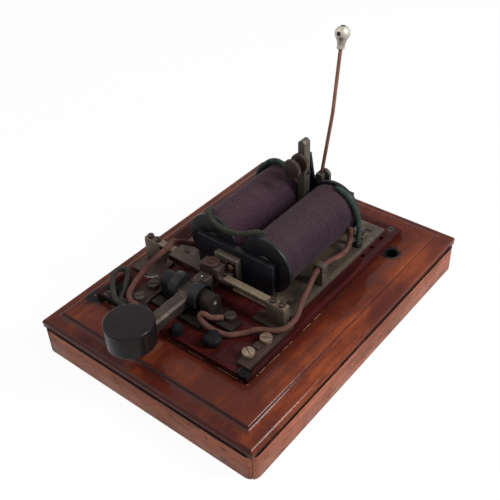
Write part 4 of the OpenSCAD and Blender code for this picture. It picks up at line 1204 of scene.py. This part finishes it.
@dataclass
class SlottedHead:
    """A small round screw head with a slot, which stands on a level face."""

    name: str
    body: Body
    place: Point
    radius: float
    height: float
    turn: float
    material: str = "screw_dark"
    taper: float = 0.94
    rounding: float = 0.25
    slot_w: float = 0.7
    slot_deep: float = 0.7
    segments: int = 28

    def build(self) -> None:
        """Cuts the slot's band in the top face and sinks it."""
        bm = bmesh.new()
        head = bmesh.ops.create_cone(
            bm, cap_ends=True, segments=self.segments, radius1=1.0, radius2=self.taper, depth=1.0
        )
        Workshop.shaped(head, bm, (self.radius, self.radius, self.height), (0.0, 0.0, self.height / 2))
        Workshop.round_edges(bm, self.rounding)
        for side in (-1, 1):
            bmesh.ops.bisect_plane(
                bm, geom=Workshop.everything(bm), dist=Workshop.CUT_DOUBLES,
                plane_co=(side * self.slot_w / 2 * MM, 0.0, 0.0), plane_no=(1, 0, 0),
            )
        middle = self.slot_w / 4 * MM
        band = [f for f in bm.faces if f.normal.z > Workshop.LEVEL and abs(f.calc_center_median().x) < middle]
        sunk = bmesh.ops.extrude_face_region(bm, geom=band)["geom"]
        bmesh.ops.delete(bm, geom=band, context="FACES_ONLY")
        floor = Workshop.only(sunk, Vert)
        bmesh.ops.translate(bm, vec=(0, 0, -self.slot_deep * MM), verts=floor)
        Workshop.moved(bm, self.place, Workshop.turned(self.turn, "Z"))
        bmesh.ops.recalc_face_normals(bm, faces=bm.faces)
        Workshop.finish(bm, self.name, self.body, self.material)


@dataclass
class Domes:
    """Low round heads, such as pins and brads."""

    name: str
    body: Body
    places: list[Point]
    radius: float
    height: float
    material: str
    facing: Point = UP
    segments: int = 20
    rings: int = 12

    def build(self) -> None:
        """Makes one flattened ball at each place."""
        bm = bmesh.new()
        size, turn = (self.radius, self.radius, self.height), Workshop.facing(self.facing)
        for place in self.places:
            ball = bmesh.ops.create_uvsphere(
                bm, u_segments=self.segments, v_segments=self.rings, radius=1.0
            )
            Workshop.shaped(ball, bm, size, place, turn)
        Workshop.finish(bm, self.name, self.body, self.material, smooth=60.0)


@dataclass
class TerminalTag:
    """The thin steel tag that springs up from the left strip."""

    size: Point = (11.6, 2.6, 0.5)
    place: Point = (-60.6, -70.6, 51.4)
    heading: float = 50.0
    tilt: float = 12.0
    cuts: int = 6
    curl: float = 1.4
    point_from: float = 0.5
    point_taper: float = 1.4
    rounding: float = 0.12

    def build(self) -> None:
        """Bends a thin bar and points its free end."""
        bm = bmesh.new()
        bar = bmesh.ops.create_cube(bm, size=1.0)
        Workshop.shaped(bar, bm, self.size, (0.0, 0.0, 0.0))
        half = self.size[0] / 2 * MM
        long_edges = [e for e in bm.edges if abs((e.verts[0].co - e.verts[1].co).x) > half]
        bmesh.ops.subdivide_edges(bm, edges=long_edges, cuts=self.cuts, use_grid_fill=True)
        for vert in bm.verts:
            along = vert.co.x / half
            vert.co.z += self.curl * MM * along ** 2
            vert.co.y *= 1.0 + min(0.0, along + self.point_from) * self.point_taper
        Workshop.round_edges(bm, self.rounding, 1)
        Workshop.moved(bm, self.place, Workshop.turned(self.heading, "Z") @ Workshop.turned(self.tilt, "Y"))
        bmesh.ops.recalc_face_normals(bm, faces=bm.faces)
        Workshop.finish(bm, "terminal_tag", Body.BASE, "soft_iron")


@dataclass
class HammerHead:
    """The pear-shaped head, with the rod's end at its top and a pin in its front."""

    cad_r: float = 6.5
    ball_r: float = 6.4
    lean: float = 8.8
    ball_to: float = 125.0
    ball_steps: int = 12
    neck: tuple[tuple[float, float], ...] = (
        (4.5, -5.2), (3.9, -7.0), (3.5, -8.6), (3.3, -10.2), (3.3, -11.6), (3.5, -12.2), (3.2, -12.9),
        (1.5, -12.9),
    )
    steps: int = 44
    rod_end_r: float = 2.1
    pin_r: float = 1.9
    pin_facing: Point = (0.024, -0.968, 0.25)
    mark_out: float = 0.05

    def build(self) -> None:
        """Spins the outline round the rod's line and adds the two dark marks."""
        low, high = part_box("hammer_head")
        centre = Vector(((low.x + high.x) / 2, high.y - self.cad_r * MM, high.z - self.cad_r * MM))
        angles = [math.radians(self.ball_to) * k / self.ball_steps for k in range(self.ball_steps + 1)]
        outline = [(self.ball_r * math.sin(t), self.ball_r * math.cos(t)) for t in angles] + list(self.neck)
        bm = bmesh.new()
        verts = [bm.verts.new((r * MM, 0.0, s * MM)) for r, s in outline]
        for pair in zip(verts, verts[1:]):
            bm.edges.new(pair)
        Workshop.spun(bm, Vector(), UP, self.steps)
        Workshop.closed(bm)
        upright = Workshop.turned(-self.lean, "X")
        Workshop.moved(bm, centre / MM, upright)
        Workshop.finish(bm, "pear_head", Body.STRIKER, "nickel", ["hammer_head"], smooth=40.0)
        top = upright @ Vector(UP)
        marks = (("rod_end", top, self.rod_end_r), ("head_pin", self.pin_facing, self.pin_r))
        for name, way, radius in marks:
            sag = radius ** 2 / (2 * self.ball_r)
            place = tuple(centre / MM + Vector(way).normalized() * (self.ball_r - sag))
            Domes(name, Body.STRIKER, [place], radius, sag + self.mark_out, "pin_black", tuple(way)).build()


@dataclass
class NosingFoot:
    """The upright lower half of the moulded board's nosing, which stands on the plinth."""

    back: float = 0.35
    thickness: float = 2.0
    nosing_r: float = 4.3

    def build(self) -> None:
        """Makes four walls round the board."""
        low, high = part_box("moulded_board")
        bm = bmesh.new()
        wall = bmesh.ops.create_cube(bm, size=1.0)
        x, y, _ = (high - low) / MM
        middle = (high + low) / 2 / MM
        size = (x - 2 * self.back, y - 2 * self.back, self.nosing_r)
        Workshop.shaped(wall, bm, size, (middle.x, middle.y, low.z / MM + self.nosing_r / 2))
        bmesh.ops.recalc_face_normals(bm, faces=bm.faces)
        level = [f for f in bm.faces if abs(f.normal.z) > Workshop.LEVEL]
        bmesh.ops.delete(bm, geom=level, context="FACES_ONLY")
        bmesh.ops.solidify(bm, geom=bm.faces, thickness=self.thickness * MM)
        bmesh.ops.recalc_face_normals(bm, faces=bm.faces)
        Workshop.finish(bm, "nosing_foot", Body.BASE, "board_mahogany")


@dataclass
class HoleLining:
    """The black ring in the mouth of the wire hole."""

    radius: float = 6.1
    thickness: float = 0.6
    sunk: float = 0.6
    steps: int = 40
    sides: int = 12

    def build(self) -> None:
        """Spins a small ring round the hole."""
        bm = bmesh.new()
        ring = bmesh.ops.create_circle(bm, cap_ends=False, segments=self.sides, radius=self.thickness)
        x, y = WIRE_HOLE
        z = RAISED_FOOT / MM - self.sunk
        Workshop.shaped(ring, bm, (1.0, 1.0, 1.0), (x + self.radius, y, z), Workshop.turned(90.0, "X"))
        Workshop.spun(bm, Vector((x, y, z)) * MM, UP, self.steps)
        Workshop.closed(bm)
        Workshop.finish(bm, "hole_lining", Body.BASE, "tape", smooth=80.0)


@dataclass
class TapedSplice:
    """A joint in the wire under lumpy black tape."""

    centre: Point = (29.5, -95.0, 51.0)
    size: Point = (6.4, 8.0, 5.4)
    lump: float = 0.24
    lump_along: tuple[float, float] = (2.3, 1.1)
    lump_round: tuple[float, float] = (2.0, 0.6)
    wrap: float = 0.05
    wraps: float = 3.2
    heading: float = -35.0
    sunk: float = 0.4
    subdivisions: int = 4

    def build(self) -> None:
        """Swells a ball into lumps and presses the tape's laps into it."""
        bm = bmesh.new()
        ball = bmesh.ops.create_icosphere(bm, subdivisions=self.subdivisions, radius=1.0)
        for vert in bm.verts:
            x, y, z = vert.co
            around = math.atan2(z, x)
            along = math.sin(self.lump_along[0] * y + self.lump_along[1])
            swell = self.lump * along * math.cos(self.lump_round[0] * around + self.lump_round[1])
            lap = self.wrap * math.sin(TURN * self.wraps * y / 2 + around)
            vert.co *= 1.0 + swell + lap
        Workshop.shaped(ball, bm, self.size, self.centre, Workshop.turned(self.heading, "Z"))
        floor = (self.centre[2] - self.size[2] + self.sunk) * MM
        for vert in bm.verts:
            vert.co.z = max(vert.co.z, floor)
        Workshop.finish(bm, "lumpy_splice", Body.BASE, "tape", ["taped_splice"], smooth=70.0)


@dataclass
class Lead:
    """A covered lead along its route, in millimetres, with optional ribs."""

    name: str
    node: str
    route: list[Point]
    diameter: float
    material: str
    lay: str = "loose"
    rib_pitch: float = 0.0
    rib_depth: float = 0.0
    tapers: tuple[float, float] = (0.0, 0.0)
    thin: float = 0.35
    taper_shape: float = 0.6
    sides: int = 14
    spacing: float = 0.9
    samples: int = 24
    path: list[Vector] = field(default_factory=list)

    def centreline(self) -> list[Vector]:
        """Smooths the route.

        Returns:
            Points about one spacing apart, in metres.
        """
        p = [Vector(q) * MM for q in self.route]
        p = [2 * p[0] - p[1], *p, 2 * p[-1] - p[-2]]
        fine: list[Vector] = []
        for a, b, c, d in zip(p, p[1:], p[2:], p[3:]):
            for t in (s / self.samples for s in range(self.samples)):
                bend = (2 * a - 5 * b + 4 * c - d) * t ** 2 + (3 * b - a - 3 * c + d) * t ** 3
                fine.append(0.5 * (2 * b + (c - a) * t + bend))
        fine.append(p[-2])
        even, walked = [fine[0]], 0.0
        for a, b in zip(fine, fine[1:]):
            walked += (b - a).length
            if walked >= self.spacing * MM:
                even.append(b)
                walked = 0.0
        if (even[-1] - fine[-1]).length < self.spacing * MM / 2:
            even.pop()
        return [*even, fine[-1]]

    def build(self) -> None:
        """Extrudes a ring along the smoothed route and maps its cover."""
        self.path = self.centreline()
        length = sum((b - a).length for a, b in zip(self.path, self.path[1:]))
        bm = bmesh.new()
        uv = bm.loops.layers.uv.new("UVMap")
        swell = self._swell(0.0, length)
        radius = self.diameter / 2 * MM * swell
        ring = bmesh.ops.create_circle(bm, cap_ends=True, segments=self.sides, radius=radius)["verts"]
        heading = (self.path[1] - self.path[0]).normalized()
        start = Matrix.Translation(self.path[0]) @ Workshop.facing(heading)
        bmesh.ops.transform(bm, matrix=start, verts=ring)
        bmesh.ops.reverse_faces(bm, faces=bm.faces)
        edges, walked = list(bm.edges), 0.0
        for here, there, after in zip(self.path, self.path[1:], [*self.path[2:], self.path[-1]]):
            ahead = (after - here).normalized()
            made = bmesh.ops.extrude_edge_only(bm, edges=edges)["geom"]
            verts = Workshop.only(made, Vert)
            step = (there - here).length
            rib = self._swell(walked + step, length)
            turn = Matrix.Scale(rib / swell, 4) @ Workshop.facing(ahead, heading)
            move = Matrix.Translation(there) @ turn @ Matrix.Translation(-here)
            bmesh.ops.transform(bm, matrix=move, verts=verts)
            new = set(verts)
            edges = [e for e in Workshop.only(made, Edge) if new.issuperset(e.verts)]
            self._map(Workshop.only(made, Face), uv, new, walked, walked + step)
            heading, swell, walked = ahead, rib, walked + step
        bmesh.ops.edgeloop_fill(bm, edges=edges)
        bmesh.ops.recalc_face_normals(bm, faces=bm.faces)
        piece = Workshop.finish(bm, self.name, Body.BASE, self.material, [self.node], smooth=60.0)

    def _swell(self, walked: float, length: float) -> float:
        """Works out the thickness of the cover, with its ribs and bound ends.

        Args:
            walked: a length along the lead, in metres.
            length: the whole length.

        Returns:
            The thickness there, as a share of the diameter.
        """
        swell = 1.0
        for taper, off in zip(self.tapers, (walked, length - walked)):
            if taper:
                swell *= self.thin + (1.0 - self.thin) * min(1.0, off / (taper * MM)) ** self.taper_shape
        if self.rib_pitch:
            wave = math.sin(TURN * walked / (self.rib_pitch * MM))
            swell *= 1.0 - self.rib_depth + self.rib_depth * wave
        return swell

    def _map(self, faces: list[Face], uv: Any, new: set, low: float, high: float) -> None:
        """Lays one band of faces on the map.

        Args:
            faces: the band.
            uv: the map's layer.
            new: the vertices at the band's far side.
            low: the length walked at its near side, in metres.
            high: the length walked at its far side.
        """
        for number, face in enumerate(faces):
            far = [loop for loop in face.loops if loop.vert in new]
            near = [loop for loop in face.loops if loop.vert not in new]
            far_step = {far[0]: number, far[-1]: number + 1}
            for loop in far:
                loop[uv].uv = (high, far_step[loop] / self.sides)
            for loop, value in zip(near, (number + 1, number)):
                loop[uv].uv = (low, value / self.sides)


COVERED_D = 4.8
SILK_D = 5.0
RIGHT_ROUTE = [
    (53, 64.5, 71.5), (54, 62.5, 62), (55.6, 58, 57.6), (57.2, 51, 56.8), (58.2, 40, 58.6), (58.5, 27, 63),
    (58.5, 14.5, 66), (58.5, 6.5, 66), (58.7, 0, 63), (60.5, -9, 59), (64, -23, 55.6), (68.8, -36, 53.8),
    (70.4, -46, 53.2), (68.5, -55, 52.4), (63.4, -60.2, 52), (56.4, -64.2, 51.9), (51, -67.8, 51.5),
    (46, -72.4, 49.6), (41, -77.6, 48.8), (35.5, -82.8, 48.8), (28, -85.4, 49.2), (20, -87, 50.8),
    (13, -87.2, 53.4), (9, -86, 56.2), (9.4, -84, 58), (12.8, -83, 58.2), (16.4, -81.6, 56.2),
    (19.2, -76.6, 53.6), (21.6, -72.8, 52.2),
]
LEFT_ROUTE = [
    (-54, -16, 52), (-56, -19, 56), (-59, -26, 61), (-60, -34, 67), (-58, -42.5, 73.8), (-55, -51, 75),
    (-56.2, -60, 72), (-59.8, -66.3, 67), (-64, -73, 59.5), (-65, -82, 54.8), (-62.6, -91.6, 53),
    (-58.4, -98.6, 53.2), (-53, -102.8, 53.2), (-47.6, -103.8, 53.2), (-43.2, -103.4, 53.4),
]
FRONT_ROUTE = [
    (-34, -14.5, 101), (-33, -19.6, 104.5), (-29.5, -25.8, 105.4), (-23, -28.6, 102.4), (-14, -28.5, 99),
    (-3, -27.2, 98), (8, -24.8, 100), (15.2, -20.8, 102.6), (20, -15.2, 101),
]
REAR_RIGHT_ROUTE = [
    (31, 71.6, 102.1), (37.5, 71.8, 100.1), (44.6, 71.8, 95.6), (50.4, 71.8, 89), (54.6, 71.8, 80.5),
    (56.7, 71.8, 71), (57, 71.4, 61), (56.9, 71, 52),
]
REAR_LEFT_ROUTE = [
    (-58, 70.5, 52), (-57.8, 70.6, 61), (-56.6, 71, 72), (-53.6, 71.4, 84.5), (-47.5, 71.8, 94),
    (-40, 72, 101.4), (-32.5, 72.4, 104.4), (-26, 72.4, 103.6), (-20.5, 71.6, 101.6),
]
GREY_ROUTE = [
    (-48, -101.4, 48.8), (-48.1, -103.6, 48.8), (-50.4, -106.6, 48.8), (-57, -108, 49), (-67, -106.6, 49.4),
    (-76, -100.6, 50), (-85, -92.6, 50.6), (-90.6, -85, 51), (-90, -78.6, 51.2), (-84.6, -76, 51.2),
    (-79.4, -79.8, 50.6), (-73.5, -87.5, 49.8), (-67, -96.4, 49.2), (-63.4, -103, 49), (-58.6, -104.2, 48.8),
    (-55.4, -104, 48.8), (-55, -101.6, 48.8),
]
RIBS = dict(rib_pitch=WRAP_PITCH, rib_depth=0.09, spacing=0.3)
BOUND = 5.0
LEADS = [
    Lead("brown_lead_right", "right_lead", RIGHT_ROUTE, COVERED_D, "lead_brown"),
    Lead("brown_lead_left", "left_lead", LEFT_ROUTE, COVERED_D, "lead_brown"),
    Lead("olive_lead_front", "coil_leads", FRONT_ROUTE, SILK_D, "lead_olive", tapers=(BOUND, BOUND)),
    Lead(
        "green_lead_rear_right", "coil_leads", REAR_RIGHT_ROUTE, SILK_D, "lead_green", tapers=(BOUND, 0.0),
        **RIBS,
    ),
    Lead(
        "green_lead_rear_left", "coil_leads", REAR_LEFT_ROUTE, SILK_D, "lead_green", tapers=(0.0, BOUND),
        **RIBS,
    ),
    Lead("grey_lead_hairpin", "grey_lead", GREY_ROUTE, COVERED_D, "lead_grey"),
]


@dataclass
class PhotoCamera:
    """The camera that was fitted to the base's edges."""

    azimuth: float = 40.229
    elevation: float = 38.902
    roll: float = -2.672
    place: Point = (0.3359, -0.4067, 0.4897)
    focal_px: float = 788.86
    image_px: float = 500.0
    sensor: float = 36.0

    def build(self) -> None:
        """Places the camera."""
        a, e, r = (math.radians(v) for v in (self.azimuth, self.elevation, self.roll))
        back = Vector((math.sin(a) * math.cos(e), -math.cos(a) * math.cos(e), math.sin(e)))
        right = Vector((math.cos(a), math.sin(a), 0.0))
        up = right.cross(-back)
        across = right * math.cos(r) + up * math.sin(r)
        above = up * math.cos(r) - right * math.sin(r)
        data = bpy.data.cameras.new("photo_camera")
        data.sensor_fit = "HORIZONTAL"
        data.sensor_width = self.sensor
        data.lens = self.focal_px / self.image_px * self.sensor
        camera = Workshop.linked("photo_camera", data)
        turn = Matrix((across, above, back)).transposed().to_4x4()
        camera.matrix_world = Matrix.Translation(self.place) @ turn
        bpy.context.scene.camera = camera


@dataclass
class Lamp:
    """One oblong lamp that faces the object."""

    name: str
    place: Point
    width: float
    height: float
    power: float
    aim: Point = (0.0, 0.0, 0.06)

    def build(self) -> None:
        """Hangs the lamp."""
        data = bpy.data.lights.new(self.name, "AREA")
        data.shape = "RECTANGLE"
        data.size = self.width
        data.size_y = self.height
        data.energy = self.power
        lamp = Workshop.linked(self.name, data)
        turn = (Vector(self.aim) - Vector(self.place)).to_track_quat("-Z", "Y").to_matrix().to_4x4()
        lamp.matrix_world = Matrix.Translation(self.place) @ turn


@dataclass
class Studio:
    """A pale floor, a soft world and two soft lamps."""

    floor: Colour = (0.90, 0.90, 0.90)
    floor_roughness: float = 0.9
    floor_half: float = 6.0
    floor_drop: float = 0.0002
    paper: float = 0.95
    ambient: float = 0.40
    sky: Colour = (1.0, 0.985, 0.965)
    white: Colour = (1.0, 1.0, 1.0)
    lamps: tuple[Lamp, ...] = (
        Lamp("window", (1.08, 0.38, 1.02), width=0.3, height=0.7, power=22.0),
        Lamp("fill", (-0.9, -0.8, 1.3), width=1.4, height=1.4, power=6.5),
    )

    def build(self) -> None:
        """Makes the floor, the world and the lamps."""
        bm = bmesh.new()
        bmesh.ops.create_grid(bm, x_segments=1, y_segments=1, size=self.floor_half)
        bmesh.ops.translate(bm, vec=(0, 0, -self.floor_drop), verts=bm.verts)
        mesh = bpy.data.meshes.new("floor")
        bm.to_mesh(mesh)
        bm.free()
        mesh.materials.append(self._floor_finish())
        Workshop.linked("floor", mesh)
        self._world()
        for lamp in self.lamps:
            lamp.build()
        bpy.context.scene.view_settings.view_transform = "Standard"

    @staticmethod
    def _seen(g: Graph) -> Socket:
        """One where the camera, a gloss or a glass looks."""
        path = g.add("LightPath").outputs
        mirrored = g.math("MAXIMUM", path["Is Glossy Ray"], path["Is Transmission Ray"])
        return g.math("MAXIMUM", path["Is Camera Ray"], mirrored)

    def _floor_finish(self) -> Material:
        """Pale paper that is white to the camera and keeps some shadow."""
        paper = Surface("pale_floor")
        g = paper.graph
        paper.dress({
            "Base Color": self.floor, "Roughness": self.floor_roughness, "Specular IOR Level": 0.0,
        })
        glow = g.add("Emission", {"Color": self.white, "Strength": 1.0})
        share = g.product(self._seen(g), self.paper)
        blend = g.add("MixShader", {0: share, 1: paper.shader.outputs[0], 2: glow.outputs[0]})
        g.fill(g.tree.nodes["Material Output"], {"Surface": blend.outputs[0]})
        return paper.material

    def _world(self) -> None:
        """An even world that is white behind the object."""
        world = bpy.data.worlds.new("studio")
        world.use_nodes = True
        g = Graph(world.node_tree)
        soft = g.fill(g.tree.nodes["Background"], {"Color": self.sky, "Strength": self.ambient})
        white = g.add("Background", {"Color": self.white, "Strength": 1.0})
        blend = g.add("MixShader", {0: self._seen(g), 1: soft.outputs[0], 2: white.outputs[0]})
        g.fill(g.tree.nodes["World Output"], {"Surface": blend.outputs[0]})
        bpy.context.scene.world = world


BASE_EDGES = {
    "plinth_front": ("plinth_wood_ends", 1.0), "plinth_back": ("plinth_wood_ends", 1.0),
    "plinth_left": ("plinth_wood", 1.0), "plinth_right": ("plinth_wood", 1.0),
    "moulded_board": ("board_mahogany", 0.4), "raised_board": ("raised_mahogany", 0.7),
    "countersunk_screws": ("screw_brass", 0.35), "magnet_plate": ("plate_brass", 0.45),
    "left_front_cheek": ("black_cheek", 0.5), "left_rear_cheek": ("black_cheek", 0.5),
    "right_front_cheek": ("black_cheek", 0.5), "right_rear_cheek": ("black_cheek", 0.5),
    "bridge_bracket": ("bridge_brass", 0.5), "stop_post": ("post_brass", 0.5),
    "armature_brackets": ("plate_brass", 0.4), "key_sole": ("pedestal_bronze", 0.4),
    # the left pedestal takes black ebonite as painted shade: it stands in the shadow by the key
    "left_pedestal": ("bush_ebonite", 0.5), "right_pedestal": ("pedestal_bronze", 0.5),
    "left_strip": ("contact_brass", 0.4), "right_strip": ("contact_brass", 0.4),
    "left_contact_post": ("contact_post_brass", 0.5), "right_contact_post": ("contact_post_brass", 0.5),
    "contact_bars": ("bar_brass", 0.25), "wire_lug": ("plate_brass", 0.5),
    "small_screws": ("screw_dark", 0.3), "lead_bushes": ("bush_ebonite", 0.3),
    "terminal_studs": ("bush_ebonite", 0.4),
}
KEY_EDGES = {
    "key_lever": ("lever_bronze", 0.4), "left_collar": ("collar_black", 0.6),
    "right_collar": ("collar_black", 0.6), "tail_block": ("tail_bronze", 0.6),
    "tail_screw": ("screw_red", 0.5), "knob": ("knob_ebonite", 0.9), "key_arbor": ("screw_dark", 0.6),
    "contact_stud": ("stud_copper", 0.8),
}
STRIKER_EDGES = {
    "armature": ("black_iron", 0.5), "armature_tail": ("black_iron", 0.3),
    "hammer_lug": ("post_brass", 0.4), "hammer_rod": ("copper", 0.2),
}
KEPT = {
    "bottom_board": "bare_wood", "left_inner_winding": "winding_copper",
    "right_inner_winding": "winding_copper", "armature_arbor": "screw_steel", "lug_screws": "screw_brass",
    "key_spring": "screw_steel", "knob_screw": "screw_brass",
}

COIL_X = 27.3
SIDEWAYS = (1.0, 0.0, 0.0)
SMALL_PIECES = [
    SlottedHead("hub_screw", Body.KEY, (-16.6, -64.6, 66.2), radius=2.3, height=1.3, turn=20.0),
    Domes("hub_pin", Body.KEY, [(-13.8, -56.2, 66.3)], radius=0.9, height=0.5, material="nickel"),
    Domes(
        "arbor_ends", Body.KEY, [(13.2, -72.0, 62.5)], radius=1.7, height=1.4, material="nickel",
        facing=SIDEWAYS,
    ),
    Domes("sealed_screw", Body.BASE, [(*SEALED_SCREW, 46.0)], radius=4.4, height=1.1, material="tape"),
    # a black disc on the lug's side: painted shade of its hole
    Domes(
        "lug_hole_shade", Body.BASE, [(63.05, 10.9, 63.0)], radius=1.1, height=0.12, material="bush_ebonite",
        facing=SIDEWAYS,
    ),
    Domes(
        "board_brads", Body.BASE, [(-92.8, -107.4, 40.0), (-99.2, 75.3, 38.6)], radius=0.8, height=0.4,
        material="screw_pale",
    ),
]


def main() -> None:
    """Builds the camera, the studio and every piece."""
    logging.basicConfig(level=logging.INFO, format="%(name)s: %(message)s")
    pieces: list[Piece] = [
        PhotoCamera(), Studio(), *LEADS, EdgedPieces(Body.BASE, BASE_EDGES), EdgedPieces(Body.KEY, KEY_EDGES),
        EdgedPieces(Body.STRIKER, STRIKER_EDGES), Yoke(), Coil("left", -COIL_X, "winding_silk_left"),
        Coil("right", COIL_X, "winding_silk"), MilledPiece("stop_screw", Body.STOP_SCREW),
        MilledPiece("stop_nut", Body.STOP_NUT), CheeseScrews(), *SMALL_PIECES, TerminalTag(), HammerHead(),
        NosingFoot(), HoleLining(), TapedSplice(),
    ]
    for piece in pieces:
        piece.build()
    for node, material in KEPT.items():
        Workshop.repaint(node, material)


if __name__ == "__main__":
    main()
